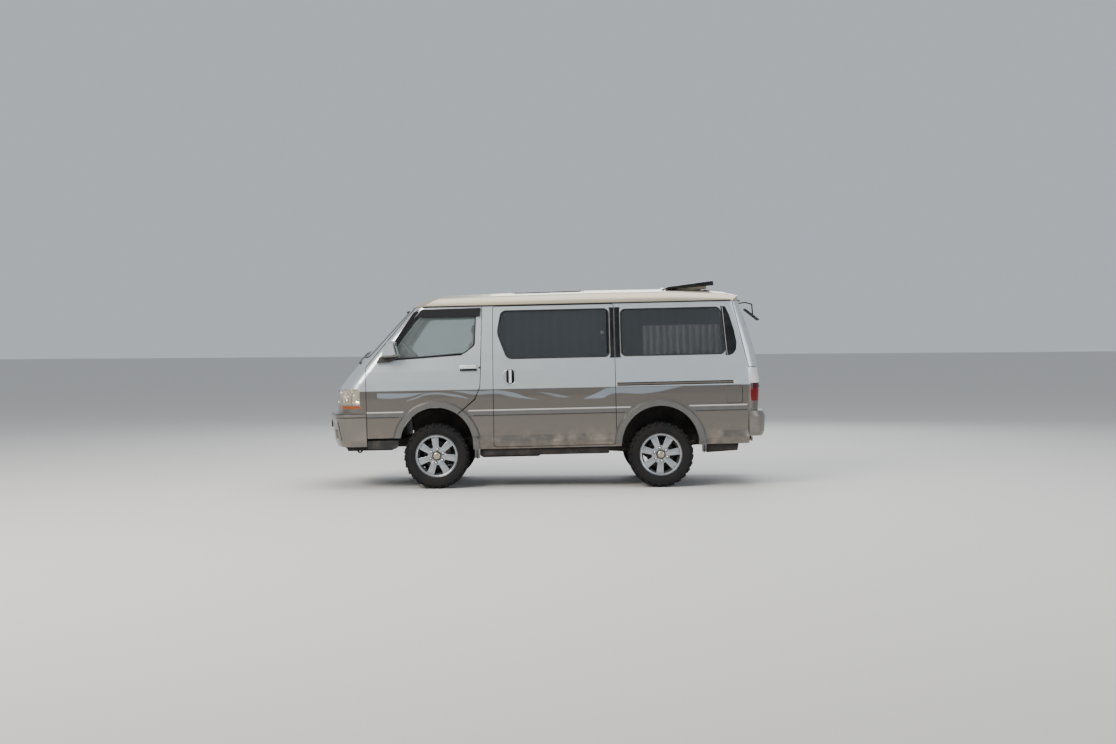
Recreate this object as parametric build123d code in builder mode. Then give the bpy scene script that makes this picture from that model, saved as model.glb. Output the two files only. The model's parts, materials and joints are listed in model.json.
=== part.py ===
from build123d import *
from math import asin, cos, radians, sin
import os

os.makedirs("parts", exist_ok=True)

# A forward-control four-wheel-drive passenger van fitted out as a camper.
# Millimetres. +Z is up, the nose points to -X, the van's left side is -Y.
# The body is drawn level and set down on its wheels with a slight nose-down rake.
RAKE = 0.9

# Stance and wheels
WHEELBASE = 2330
FRONT_AXLE_X = -1145
REAR_AXLE_X = FRONT_AXLE_X + WHEELBASE
TYRE_R = 340
TYRE_W = 230
RIM_R = 205
TRACK_Y = 712
KINGPIN_Y = 612
STUB_R = 24
STUB_END = 64
PIN_PLAY = 0.08

# Body shell
WALL = 50
ROOF_THICK = 40
GAP = 6
DOOR_REAR_GAP = 7
SKIN = 6
GLASS = 5
GLASS_SET = 8
ROOF_Z = 1905
SILL_Z = 420
BELT_Z = 1130
DOOR_TOP = ROOF_Z - GAP

# Body sections, low to high: height, nose x, nose corner radius, half width, tail x, tail corner radius
NOSE_R = 2200
TAIL_R = 6000
BODY_ROWS = [
    (SILL_Z - 5, -2215, 190, 812, 2225, 130),
    (490, -2220, 190, 838, 2235, 130),
    (560, -2225, 190, 826, 2242, 130),
    (780, -2238, 188, 842, 2262, 130),
    (960, -2240, 184, 846, 2272, 130),
    (1060, -2219, 178, 845, 2276, 129),
    (BELT_Z, -2168, 172, 841, 2268, 128),
    (1240, -2076, 162, 831, 2256, 126),
    (1400, -1935, 148, 811, 2224, 122),
    (1650, -1690, 132, 776, 2148, 112),
    (ROOF_Z, -1440, 116, 735, 2068, 100),
]

# Wheel arches
ARCH_FRONT_R = 378
ARCH_FRONT_Z = 485
ARCH_REAR_R = 403
ARCH_REAR_Z = 428
FLARE_W = 72
FLARE_PROUD = 38

# Floor
FLOOR_Z = 560
FLOOR_THICK = 30
PLATFORM_Z = 900
PLATFORM_X0 = -1555
PLATFORM_X1 = -735
RAIL_Y = 365
RAIL_W = 60
RAIL_Z0 = 440
ENGINE_Z0 = 430
FRONT_EYE = (-2075, 300, 372)
REAR_EYE = (2140, RAIL_Y, 392)
EYE_R = 18
EYE_W = 20

# Doors
DOOR_FRONT_X = -1850
SLIDE_X0 = -537
SLIDE_X1 = 730
GATE_HALF = 634
GATE_TOP_X = 1970
GATE_SHOULDER_X = 2117
GATE_HINGE = (2070, 1902)
HINGE_Y = 450
HINGE_PIN_R = 4
BARREL_R = 9
LAMP_TOP = 1203
LAMP_LOW = 859
BUMPER_TOP = 820
REAR_BUMPER_TOP = 755
REAR_BUMPER_X = 2110

# Mouldings
MOULD_Z0 = 766
MOULD_Z1 = 831
MOULD_PROUD = 9

# A soft piece lies this far from what carries it
SOFT_SEAT = 0.3


def level_of(x, z):
    """Body-frame point (x, z) of a point given in the standing frame."""
    a = radians(RAKE)
    return x * cos(a) + z * sin(a), -x * sin(a) + z * cos(a)


FRONT_HUB = level_of(FRONT_AXLE_X, TYRE_R)
REAR_HUB = level_of(REAR_AXLE_X, TYRE_R)
ARCH_FRONT_X = FRONT_HUB[0] + 6
ARCH_REAR_X = REAR_HUB[0] - 2


def corner(end_x, bow, radius, half, way):
    """One rounded corner of the plan: bow end, middle, side end. way is -1 at the nose, 1 at the tail."""
    reach = (half - radius) / (1 - radius / bow)
    a = asin(reach / bow)
    m = (a + radians(90)) / 2
    x0 = -bow + bow * cos(a)
    points = []
    for t in (a, m, radians(90)):
        back = radius * (cos(a) - cos(t))
        out = radius * (sin(t) - sin(a))
        points.append((end_x + way * (x0 - back), reach + out))
    return points


def plan(row, inset):
    """Closed plan outline of the body at one height, pulled in by inset."""
    z, nose, nose_c, half, tail, tail_c = row
    n = corner(nose + inset, NOSE_R, max(nose_c - inset, 20), half - inset, -1)
    t = corner(tail - inset, TAIL_R, max(tail_c - inset, 20), half - inset, 1)
    with BuildSketch(Plane.XY.offset(z)) as outline:
        with BuildLine():
            ThreePointArc((n[0][0], -n[0][1]), (nose + inset, 0), n[0])
            ThreePointArc(n[0], n[1], n[2])
            Line(n[2], t[2])
            ThreePointArc(t[2], t[1], t[0])
            ThreePointArc(t[0], (tail - inset, 0), (t[0][0], -t[0][1]))
            ThreePointArc((t[0][0], -t[0][1]), (t[1][0], -t[1][1]), (t[2][0], -t[2][1]))
            Line((t[2][0], -t[2][1]), (n[2][0], -n[2][1]))
            ThreePointArc((n[2][0], -n[2][1]), (n[1][0], -n[1][1]), (n[0][0], -n[0][1]))
        make_face()
    return outline.sketch


def envelope(inset, rows=BODY_ROWS):
    with BuildPart() as form:
        loft(sections=[plan(row, inset) for row in rows], ruled=True)
    return form.part


def side_block(points, y0=0, y1=-1000, round_by=0):
    """Prism of a side-view outline between two y stations, its corners rounded."""
    with BuildPart() as block:
        with BuildSketch(Plane.XZ.offset(-y0)) as face:
            with BuildLine():
                Polyline(*points, close=True)
            make_face()
            if round_by:
                fillet(face.vertices(), round_by)
        extrude(amount=y0 - y1)
    return block.part


def cross_block(points, x0, x1, round_by=0):
    """Prism of an outline drawn in (y, z) between two x stations."""
    with BuildPart() as block:
        with BuildSketch(Plane.YZ.offset(x0)) as face:
            with BuildLine():
                Polyline(*points, close=True)
            make_face()
            if round_by:
                fillet(face.vertices(), round_by)
        extrude(amount=x1 - x0)
    return block.part


def box(x0, x1, y0, y1, z0, z1):
    with BuildPart(Location(((x0 + x1) / 2, (y0 + y1) / 2, (z0 + z1) / 2))) as block:
        Box(x1 - x0, y1 - y0, z1 - z0)
    return block.part


def rod(start, end, radius):
    """Round bar between two points."""
    way = Vector(*end) - Vector(*start)
    with BuildPart(Plane(origin=start, z_dir=way)) as bar:
        Cylinder(radius, way.length, align=(Align.CENTER, Align.CENTER, Align.MIN))
    return bar.part


def disc(x, z, radius, y0, y1):
    """Round bar along y."""
    return rod((x, y0, z), (x, y1, z), radius)


def both(piece):
    """A left-hand piece and its mirror image on the right."""
    return piece + mirror(piece, about=Plane.XZ)


def right_of(piece):
    return mirror(piece, about=Plane.XZ)


def save(piece, name, raked=True):
    """Sets a finished piece down on the wheels and writes it."""
    placed = Rot(0, -RAKE, 0) * piece if raked else piece
    placed.label = name
    export_step(placed, f"parts/{name}.step")


body = envelope(0)
cabin = envelope(WALL)
shell = body - cabin
glass_out = envelope(GLASS_SET)
glass_in = envelope(GLASS_SET + GLASS)
skin_in = envelope(SKIN)
proud = envelope(-MOULD_PROUD)
flare_out = envelope(-FLARE_PROUD)
glass_shell = glass_out - glass_in

# Wheel arch cutters: a round top that drops straight to the ground
def arch(x, z, radius, y0, y1):
    return disc(x, z, radius, y0, y1) + box(x - radius, x + radius, min(y0, y1), max(y0, y1), 200, z)


front_arch = arch(ARCH_FRONT_X, ARCH_FRONT_Z, ARCH_FRONT_R, -1000, -600)
rear_arch = arch(ARCH_REAR_X, ARCH_REAR_Z, ARCH_REAR_R, -1000, -600)

# Front door outline in side view, from the lower front corner round by the windscreen pillar
DOOR_LOW = 555
DOOR_POINTS = [
    (DOOR_FRONT_X, DOOR_LOW),
    (DOOR_FRONT_X, 1296),
    (-1330, DOOR_TOP),
    (-641, DOOR_TOP),
    (-666, 1243),
    (-676, 1069),
    (-736, 940),
    (-905, 800),
    (-905, DOOR_LOW),
]
DOOR_WINDOW = [(-1668, 1362), (-1330, 1852), (-702, 1852), (-722, 1500), (-830, 1418)]
door_block = side_block(DOOR_POINTS)
# The opening is larger than the door by the gap all round, and wider again at the rear edge
door_opening = side_block(
    [
        (DOOR_FRONT_X - GAP, DOOR_LOW - GAP),
        (DOOR_FRONT_X - GAP, 1299),
        (-1342, ROOF_Z + 1),
        (-641 + DOOR_REAR_GAP, ROOF_Z + 1),
        (-666 + DOOR_REAR_GAP, 1243),
        (-676 + DOOR_REAR_GAP, 1066),
        (-731 + DOOR_REAR_GAP, 935),
        (-905 + GAP, 792),
        (-905 + GAP, DOOR_LOW - GAP),
    ]
)
door_window = side_block(DOOR_WINDOW, round_by=22)

# Side window and sliding door outlines
SLIDE_POINTS = [
    (SLIDE_X0, SILL_Z + 22),
    (SLIDE_X0 + 12, DOOR_TOP - 4),
    (SLIDE_X1, DOOR_TOP - 4),
    (SLIDE_X1, SILL_Z + 22),
]
MIDDLE_WINDOW = [(-385, 1350), (-484, 1620), (-440, 1850), (676, 1850), (676, 1350)]
REAR_WINDOW = [(800, 1352), (800, 1840), (1838, 1840), (1876, 1352)]
slide_block = side_block(SLIDE_POINTS, round_by=30)
slide_opening = side_block(
    [
        (SLIDE_X0 - GAP, SILL_Z + 22 - GAP),
        (SLIDE_X0 + 12 - GAP, DOOR_TOP - 4 + GAP),
        (SLIDE_X1 + GAP, DOOR_TOP - 4 + GAP),
        (SLIDE_X1 + GAP, SILL_Z + 22 - GAP),
    ],
    round_by=30 + GAP,
)
middle_window = side_block(MIDDLE_WINDOW, round_by=50)
rear_window = side_block(REAR_WINDOW, round_by=50)

# Tailgate: wraps round the corners above the lamps, runs between the lamps below them
gate_upper = side_block(
    [(GATE_TOP_X, DOOR_TOP), (GATE_SHOULDER_X, LAMP_TOP + 12), (2500, LAMP_TOP + 12), (2500, DOOR_TOP)],
    1000,
    -1000,
)
gate_lower = box(1900, 2500, -GATE_HALF, GATE_HALF, REAR_BUMPER_TOP + GAP, LAMP_TOP + 20)
gate_block = gate_upper + gate_lower
gate_opening = side_block(
    [
        (GATE_TOP_X - GAP - 3, ROOF_Z + 1),
        (GATE_SHOULDER_X - GAP, LAMP_TOP + 12 - GAP),
        (2500, LAMP_TOP + 12 - GAP),
        (2500, ROOF_Z + 1),
    ],
    1000,
    -1000,
) + box(1900, 2500, -GATE_HALF - GAP, GATE_HALF + GAP, REAR_BUMPER_TOP - 1, LAMP_TOP + 20)
gate_window = cross_block([(-600, 1320), (600, 1320), (545, 1800), (-545, 1800)], 1900, 2500, 60)

# Fuel flap, hinged at its front edge
FLAP = (1886, 2042, 845, 1023)
flap_block = side_block(
    [(FLAP[0], FLAP[2]), (FLAP[1], FLAP[2]), (FLAP[1], FLAP[3]), (FLAP[0], FLAP[3])], round_by=14
)
flap_recess = side_block(
    [
        (FLAP[0] - GAP, FLAP[2] - GAP),
        (FLAP[1] + GAP, FLAP[2] - GAP),
        (FLAP[1] + GAP, FLAP[3] + GAP),
        (FLAP[0] - GAP, FLAP[3] + GAP),
    ],
    round_by=14 + GAP,
)

# Lamps
HEAD_LOW = 905
HEAD_TOP = 1074
HEAD_INNER_Y = -455
HEAD_REAR_X = -1917
INDICATOR_LOW = 868
INDICATOR_TOP = 899
LAMP_DEPTH = 100
lamp_core = envelope(LAMP_DEPTH)
lamp_shell = body - lamp_core


def lamp_zone(z0, z1, rear_x, inner_y):
    return box(-2500, rear_x, -1000, inner_y, z0, z1)


headlamp = lamp_shell & lamp_zone(HEAD_LOW, HEAD_TOP, HEAD_REAR_X, HEAD_INNER_Y)
indicator = lamp_shell & lamp_zone(INDICATOR_LOW, INDICATOR_TOP, HEAD_REAR_X, HEAD_INNER_Y - 30)
tail_zone = box(REAR_BUMPER_X + 16, 2500, -1000, -GATE_HALF - GAP, LAMP_LOW, LAMP_TOP)
tail_lamp = lamp_shell & tail_zone

# Left body side: pillar, sill, sliding-door surround, rear quarter and rear corner
side_zone = box(-900, 2500, -1000, 0, SILL_Z, ROOF_Z)
rear_corner_cut = box(REAR_BUMPER_X, 2500, -1000, 0, 300, REAR_BUMPER_TOP)
half_gate = box(1900, 2500, -GATE_HALF - GAP, 10, 300, ROOF_Z + 1)
side_base = shell & side_zone
side_base = side_base - door_opening - rear_arch - front_arch - gate_opening
side_base = side_base - rear_corner_cut - half_gate - rear_window
FLAP_PIN = (FLAP[0] - GAP / 2, -847)
FLAP_PIN_R = 2.4
FLAP_KNUCKLE_R = 5
FLAP_ENDS = ((FLAP[2] - 12, FLAP[2] - 4), (FLAP[3] + 4, FLAP[3] + 12))
left_side = side_base - slide_opening - (body - envelope(30)).intersect(flap_recess) - tail_lamp
for z0, z1 in FLAP_ENDS:
    left_side = left_side + rod((*FLAP_PIN, z0), (*FLAP_PIN, z1), FLAP_KNUCKLE_R)
    left_side = left_side + box(FLAP_PIN[0] - 5, FLAP_PIN[0] + 5, FLAP_PIN[1], FLAP_PIN[1] + 14, z0, z1)
left_side = left_side - rod((*FLAP_PIN, FLAP[2] - 20), (*FLAP_PIN, FLAP[3] + 20), FLAP_PIN_R + PIN_PLAY)
# Slide rail of the sliding door: a channel along the rear quarter with a bar in it
SLIDE_RAIL = (752, 1955, 1044, 1080)
RAIL_DEPTH = 14
RAIL_BAR = 9
channel = box(SLIDE_RAIL[0], SLIDE_RAIL[1], -1000, -700, SLIDE_RAIL[2], SLIDE_RAIL[3]) - envelope(RAIL_DEPTH)
rail_bar = (envelope(3) - envelope(RAIL_DEPTH + 2)) & box(
    SLIDE_RAIL[0] - 2, SLIDE_RAIL[1] + 2, -1000, -700, SLIDE_RAIL[2] + RAIL_BAR, SLIDE_RAIL[3] - RAIL_BAR
)
left_side = left_side - channel + rail_bar
right_side = right_of(side_base - middle_window - tail_lamp)
save(left_side, "left_side_panel")
save(right_side, "right_side_panel")

sliding_door = (shell & slide_block) - middle_window
HANDLE_X = -356
HANDLE_Z = 1166
with BuildPart() as handle_pocket:
    with BuildSketch(Plane.XZ.offset(846 - 18)):
        with Locations((HANDLE_X, HANDLE_Z)):
            SlotOverall(182, 140, rotation=90)
    extrude(amount=60)
handle_bar = rod((HANDLE_X, -838, HANDLE_Z - 66), (HANDLE_X, -838, HANDLE_Z + 66), 11) + box(
    HANDLE_X - 10, HANDLE_X + 10, -844, -824, HANDLE_Z + 40, HANDLE_Z + 62
) + box(HANDLE_X - 10, HANDLE_X + 10, -844, -824, HANDLE_Z - 62, HANDLE_Z - 40)
sliding_door = sliding_door - handle_pocket.part + handle_bar
save(sliding_door, "sliding_door")

windows = (glass_shell & middle_window) + (glass_shell & rear_window)
windscreen_cut = cross_block([(-700, 1395), (700, 1395), (612, 1868), (-612, 1868)], -2400, -1250, 70)
side_windows = windows + right_of(windows)
save(side_windows, "side_windows")
save(glass_shell & windscreen_cut, "windscreen")

# Windscreen frame: pillars, header and scuttle
frame_zone = box(-2400, -1200, -1000, 1000, 1300, ROOF_Z)
windscreen_frame = (shell & frame_zone) - windscreen_cut - both(door_opening)
save(windscreen_frame, "windscreen_frame")

# Nose panel with its grille opening
GRILLE_HALF = 452
GRILLE_LOW = 912
GRILLE_TOP = 1068
nose_zone = box(-2400, DOOR_FRONT_X - GAP, -1000, 1000, BUMPER_TOP, 1300)
grille_cut = box(-2400, -1900, -GRILLE_HALF, GRILLE_HALF, GRILLE_LOW, GRILLE_TOP)
nose = (shell & nose_zone) - both(headlamp) - both(indicator) - grille_cut
save(nose, "nose_panel")
save(both(headlamp) + both(indicator), "headlamps")
save(both(tail_lamp), "tail_lamps")

# Grille: a rim and level bars that follow the nose
GRILLE_BARS = 4
grille_band = envelope(4) - envelope(40)
bar_pitch = (GRILLE_TOP - GRILLE_LOW) / GRILLE_BARS
grille = grille_band & (
    box(-2400, -1900, -GRILLE_HALF, GRILLE_HALF, GRILLE_LOW, GRILLE_TOP)
    - box(-2400, -1900, -GRILLE_HALF + 16, GRILLE_HALF - 16, GRILLE_LOW + 12, GRILLE_TOP - 12)
)
for i in range(1, GRILLE_BARS):
    z = GRILLE_LOW + i * bar_pitch
    grille = grille + (grille_band & box(-2400, -1900, -GRILLE_HALF, GRILLE_HALF, z - 8, z + 8))
save(grille, "grille")


# Bumpers: a hollow wrap-round cover with a shelf against the body
FRONT_BUMPER_ROWS = [
    (470, -2252, 190, 822, 2300, 130),
    (530, -2278, 196, 842, 2300, 130),
    (720, -2300, 200, 850, 2300, 130),
    (790, -2318, 200, 852, 2300, 130),
    (BUMPER_TOP, -2306, 196, 850, 2300, 130),
]
REAR_BUMPER_ROWS = [
    (495, -2200, 190, 826, 2300, 150),
    (540, -2200, 190, 844, 2322, 150),
    (700, -2200, 190, 850, 2334, 150),
    (REAR_BUMPER_TOP, -2200, 190, 848, 2310, 150),
]
BUMPER_WALL = 40
front_bumper = envelope(0, FRONT_BUMPER_ROWS) - envelope(BUMPER_WALL, FRONT_BUMPER_ROWS)
bumper_shelf = (envelope(0, FRONT_BUMPER_ROWS) - cabin) & box(-2500, 0, -1000, 1000, 795, BUMPER_TOP)
front_bumper = front_bumper + bumper_shelf
front_bumper = front_bumper & box(-2500, DOOR_FRONT_X - GAP, -1000, 1000, 300, BUMPER_TOP)
# Lower air intake, a recess for a lamp at each side and the seam of the corner piece
for z in (548, 584, 620):
    front_bumper = front_bumper - box(-2500, -2100, -430, 430, z, z + 24)
lamp_recess = box(-2500, -2000, -720, -560, 560, 650) - envelope(25, FRONT_BUMPER_ROWS)
bumper_seam = side_block([(-2167, 732), (-2159, 732), (-2119, 541), (-2127, 541)], -780)
bumper_seam = bumper_seam - envelope(14, FRONT_BUMPER_ROWS)
front_bumper = front_bumper - both(lamp_recess) - both(bumper_seam)
save(front_bumper, "front_bumper")
rear_bumper = envelope(0, REAR_BUMPER_ROWS) - envelope(BUMPER_WALL, REAR_BUMPER_ROWS)
rear_bumper = rear_bumper + (
    (envelope(0, REAR_BUMPER_ROWS) - cabin) & box(0, 2500, -1000, 1000, REAR_BUMPER_TOP - 22, REAR_BUMPER_TOP)
)
rear_bumper = rear_bumper & box(REAR_BUMPER_X, 2500, -1000, 1000, 300, REAR_BUMPER_TOP)
save(rear_bumper, "rear_bumper")


# Roof: crowned sections along the van inside a cap that draws in towards the nose, hollow below
# Crown, front to back: station x, height on the centre line
CROWN_ROWS = [(-1500, 2036), (-349, 2058), (500, 2067), (1322, 2064), (1700, 2043), (1901, 2022), (2090, 1965)]
# Cap, low to high, in the columns of the body sections
CAP_ROWS = [
    (ROOF_Z, -1440, 116, 735, 2068, 100),
    (1932, -1390, 150, 735, 2068, 100),
    (1966, -1316, 200, 735, 2068, 100),
    (2008, -1162, 260, 735, 2068, 100),
    (2034, -1009, 300, 735, 2068, 100),
    (2052, -703, 340, 735, 2068, 100),
    (2110, 60, 340, 735, 2068, 100),
]
CROWN_LOW = ROOF_Z - 60


def crown_form(rows, drop):
    """Lofted roof form of sections with a flat floor, two flanks and a crown, sunk by drop."""
    half = BODY_ROWS[-1][3] - drop
    with BuildPart() as form:
        for x, top in rows:
            rise = top - ROOF_Z
            base, flank, shoulder, crown = (ROOF_Z - drop + share * rise for share in (0, 0.41, 0.71, 1))
            with BuildSketch(Plane.YZ.offset(x)):
                with BuildLine():
                    Polyline((-half, base), (-half, CROWN_LOW), (half, CROWN_LOW), (half, base))
                    ThreePointArc((half, base), (half - 30, flank), (half - 105, shoulder))
                    ThreePointArc((half - 105, shoulder), (0, crown), (105 - half, shoulder))
                    ThreePointArc((105 - half, shoulder), (30 - half, flank), (-half, base))
                make_face()
        loft(ruled=True)
    return form.part


def cap_form(drop):
    return envelope(drop, [(row[0] - drop, *row[1:]) for row in CAP_ROWS])


def roof_plan(inset, z0, z1):
    top = BODY_ROWS[-1]
    with BuildPart() as form:
        add(plan((z0, *top[1:]), inset))
        extrude(amount=z1 - z0)
    return form.part


roof_solid = crown_form(CROWN_ROWS, 0)
roof = (roof_solid & cap_form(0)) - (crown_form(CROWN_ROWS, ROOF_THICK) & cap_form(ROOF_THICK))
# Rain gutter along each side: a floor and an upturned lip
GUTTER = 14
GUTTER_LIP = 5
gutter_zone = box(-1260, 1960, -1000, 1000, ROOF_Z, ROOF_Z + 16)
gutter = (roof_plan(-GUTTER, ROOF_Z, ROOF_Z + 6) - roof_plan(6, ROOF_Z - 1, ROOF_Z + 7)) & gutter_zone
gutter_lip = roof_plan(-GUTTER, ROOF_Z, ROOF_Z + 16) - roof_plan(GUTTER_LIP - GUTTER, ROOF_Z - 1, ROOF_Z + 17)
gutter_lip = gutter_lip & gutter_zone
# Roof hatches: a closed sunroof over the cab and a tilting one at the rear
SUNROOF = (-300, 400, 430)
HATCH = (1380, 1760, 500)
roof_band = roof_solid - crown_form(CROWN_ROWS, 14)
sunroof_cut = box(SUNROOF[0], SUNROOF[1], -SUNROOF[2], SUNROOF[2], 1900, 2200)
hatch_cut = box(HATCH[0], HATCH[1], -HATCH[2], HATCH[2], 1900, 2200)
roof = roof + gutter + gutter_lip - sunroof_cut - hatch_cut
# Tailgate hinges: an eye on the roof's rear edge at each side, in which the gate's pin turns
def barrel(y0, y1, radius):
    return both(disc(GATE_HINGE[0], GATE_HINGE[1], radius, -y0, -y1))


eye_strap = both(box(2030, GATE_HINGE[0], -HINGE_Y - 14, -HINGE_Y + 14, ROOF_Z, ROOF_Z + 20))
roof = roof + (eye_strap & roof_plan(-26, ROOF_Z - 50, 2200)) + barrel(HINGE_Y - 14, HINGE_Y + 14, BARREL_R)
roof = roof - barrel(HINGE_Y - 20, HINGE_Y + 20, HINGE_PIN_R + PIN_PLAY)
# Two ears on the roof carry the rear hatch's lid at its front edge
HATCH_TILT = 6.5
HATCH_HINGE = (1306, 2058)
EAR_Y = 380
EAR_R = 7.5
EAR_W = 18
LID_PIN_R = 3
ear = disc(HATCH_HINGE[0], HATCH_HINGE[1], EAR_R, -EAR_Y - EAR_W / 2, -EAR_Y + EAR_W / 2)
ear = ear + box(
    HATCH_HINGE[0] - EAR_R, HATCH_HINGE[0] + EAR_R, -EAR_Y - EAR_W / 2, -EAR_Y + EAR_W / 2, 2035, HATCH_HINGE[1]
)
roof = roof + both(ear) - both(disc(*HATCH_HINGE, LID_PIN_R + PIN_PLAY, -EAR_Y - EAR_W, -EAR_Y + EAR_W))
save(roof, "roof_panel")
save(roof_band & sunroof_cut, "sunroof")
RIM_PROUD = 6
RIM_WALL = 22
hatch_rim = (crown_form(CROWN_ROWS, -RIM_PROUD) - crown_form(CROWN_ROWS, 30)) & (
    hatch_cut
    - box(HATCH[0] + RIM_WALL, HATCH[1] - RIM_WALL, -HATCH[2] + RIM_WALL, HATCH[2] - RIM_WALL, 1900, 2200)
)
save(hatch_rim, "hatch_frame")
# Lid: a crowned cover with a skirt all round, drawn closed and then tilted
LID_ROWS = [(1250, 2078), (1400, 2086), (1762, 2084), (1830, 2076)]
LID_PLAN = (1294, 1800, 530)
LID_CORNER = 80
LID_WALL = 8
LID_CLEAR = 7


def lid_form(inset):
    x0, x1, half = LID_PLAN
    with BuildPart() as form:
        add(crown_form(LID_ROWS, inset))
        with BuildSketch(Plane.XY.offset(1840)):
            with Locations(((x0 + x1) / 2, 0)):
                RectangleRounded(x1 - x0 - 2 * inset, 2 * (half - inset), LID_CORNER - inset)
        extrude(amount=400, mode=Mode.INTERSECT)
    return form.part


lid = lid_form(0) - lid_form(LID_WALL) - crown_form(CROWN_ROWS, -LID_CLEAR)
lid = lid - both(box(LID_PLAN[0] - 10, HATCH_HINGE[0] + EAR_R + 6, -EAR_Y - 14, -EAR_Y + 14, 1900, 2200))
lid = lid + both(disc(*HATCH_HINGE, LID_PIN_R, -EAR_Y - 22, -EAR_Y + 22))
lid = lid.rotate(Axis((HATCH_HINGE[0], 0, HATCH_HINGE[1]), (0, 1, 0)), -HATCH_TILT)
save(lid, "hatch_lid")

# Floor: footwell, seat platform over the front wheels, load floor and rear wheel boxes
INNER_Y = 780
with BuildPart() as floor:
    with BuildSketch(Plane.XZ.offset(-INNER_Y)):
        with BuildLine():
            Polyline(
                (-2120, FLOOR_Z - FLOOR_THICK),
                (-2120, FLOOR_Z),
                (PLATFORM_X0, FLOOR_Z),
                (PLATFORM_X0, PLATFORM_Z),
                (PLATFORM_X1, PLATFORM_Z),
                (PLATFORM_X1, FLOOR_Z),
                (2180, FLOOR_Z),
                (2180, FLOOR_Z - FLOOR_THICK),
                (PLATFORM_X1 - FLOOR_THICK, FLOOR_Z - FLOOR_THICK),
                (PLATFORM_X1 - FLOOR_THICK, PLATFORM_Z - FLOOR_THICK),
                (PLATFORM_X0 + FLOOR_THICK, PLATFORM_Z - FLOOR_THICK),
                (PLATFORM_X0 + FLOOR_THICK, FLOOR_Z - FLOOR_THICK),
                close=True,
            )
        make_face()
    extrude(amount=2 * INNER_Y)
HOUSING_R = ARCH_REAR_R + 6
HOUSING_WALL = 12
HOUSING_Y = 430
housing = arch(ARCH_REAR_X, ARCH_REAR_Z, HOUSING_R + HOUSING_WALL, -INNER_Y, -HOUSING_Y + HOUSING_WALL)
housing = housing & box(600, 1800, -1000, 0, FLOOR_Z - FLOOR_THICK, 1200)
housing_void = arch(ARCH_REAR_X, ARCH_REAR_Z, HOUSING_R, -INNER_Y - 20, -HOUSING_Y)
floor_pan = (floor.part & cabin.intersect(box(-2500, 2500, -1000, 1000, 400, 1200))) + (both(housing) & cabin)
floor_pan = floor_pan - both(housing_void) - both(box(DOOR_FRONT_X - 20, -620, -1000, -INNER_Y + 18, 400, 1000))
save(floor_pan, "floor_pan")

# Frame: two rails, cross members and the guard under the nose
frame = both(box(-2140, 2180, -RAIL_Y - RAIL_W / 2, -RAIL_Y + RAIL_W / 2, RAIL_Z0, FLOOR_Z - FLOOR_THICK))
for x in (-2060, -1640, -560, 60, 760, 1600, 2120):
    frame = frame + box(x - 30, x + 30, -RAIL_Y, RAIL_Y, RAIL_Z0 + 12, FLOOR_Z - FLOOR_THICK - 12)
nose_guard = [(-2140, 470), (-2110, 405), (-1640, 405), (-1620, RAIL_Z0), (-2140, RAIL_Z0 + 50)]
frame = frame + side_block(nose_guard, 400, -400)
frame = frame + box(-960, -880, -RAIL_Y - RAIL_W / 2, RAIL_Y + RAIL_W / 2, ENGINE_Z0 - 25, ENGINE_Z0)
frame = frame + both(box(-960, -880, -RAIL_Y - RAIL_W / 2, -RAIL_Y + RAIL_W / 2, ENGINE_Z0, RAIL_Z0))
# Towing eyes: an upright plate with a round hole at each end of the van
for x, y, z in (FRONT_EYE, REAR_EYE):
    eye = disc(x, z, EYE_R + 16, y - EYE_W / 2, y + EYE_W / 2) + box(
        x - 28, x + 28, y - EYE_W / 2, y + EYE_W / 2, z, RAIL_Z0 + 20
    )
    frame = frame + eye - disc(x, z, EYE_R, y - EYE_W, y + EYE_W)
save(frame, "chassis_frame")

# Front suspension: wishbones on the rails, knuckles on the kingpin line
KNUCKLE_R = 22
ARM_LOW = FRONT_HUB[1] - 105
ARM_HIGH = FRONT_HUB[1] + 105
BALL_R = 30
PIN_R = 14


def wishbone(z, inner_y):
    x = FRONT_HUB[0]
    with BuildPart() as arm:
        with BuildSketch(Plane.XY.offset(z - 12)):
            with BuildLine():
                Polyline(
                    (x - 130, inner_y), (x - 90, inner_y), (x - 12, -KINGPIN_Y + 70), (x + 12, -KINGPIN_Y + 70),
                    (x + 90, inner_y), (x + 130, inner_y), (x + 26, -KINGPIN_Y), (x - 26, -KINGPIN_Y), close=True,
                )
            make_face()
            with Locations((x, -KINGPIN_Y)):
                Circle(BALL_R)
        extrude(amount=24)
    return arm.part


rail_face = -RAIL_Y - RAIL_W / 2
low_arm = wishbone(ARM_LOW, -RAIL_Y)
high_arm = wishbone(ARM_HIGH, rail_face)
kingpin_foot = (FRONT_HUB[0], -KINGPIN_Y, ARM_LOW - 40)
kingpin_head = (FRONT_HUB[0], -KINGPIN_Y, ARM_HIGH + 40)
kingpin_bore = rod(kingpin_foot, kingpin_head, PIN_R + PIN_PLAY)
arm_post = both(box(FRONT_HUB[0] - 140, FRONT_HUB[0] + 140, -RAIL_Y - 25, -RAIL_Y + 25, ARM_LOW - 12, RAIL_Z0))
with BuildPart() as leaf:
    with BuildSketch(Plane.XZ.offset(RAIL_Y - 28)):
        with BuildLine():
            Line((REAR_HUB[0] - 560, 430), (REAR_HUB[0] - 560, 408))
            ThreePointArc((REAR_HUB[0] - 560, 408), (REAR_HUB[0], 370), (REAR_HUB[0] + 560, 408))
            Line((REAR_HUB[0] + 560, 408), (REAR_HUB[0] + 560, 430))
            ThreePointArc((REAR_HUB[0] + 560, 430), (REAR_HUB[0], 396), (REAR_HUB[0] - 560, 430))
        make_face()
    extrude(amount=56)
springs = leaf.part
for end in (-560, 560):
    springs = springs + disc(REAR_HUB[0] + end, 418, 22, -RAIL_Y + 28, -RAIL_Y - 28)
suspension = both(low_arm) + both(high_arm) + arm_post + both(springs) - both(kingpin_bore)
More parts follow.
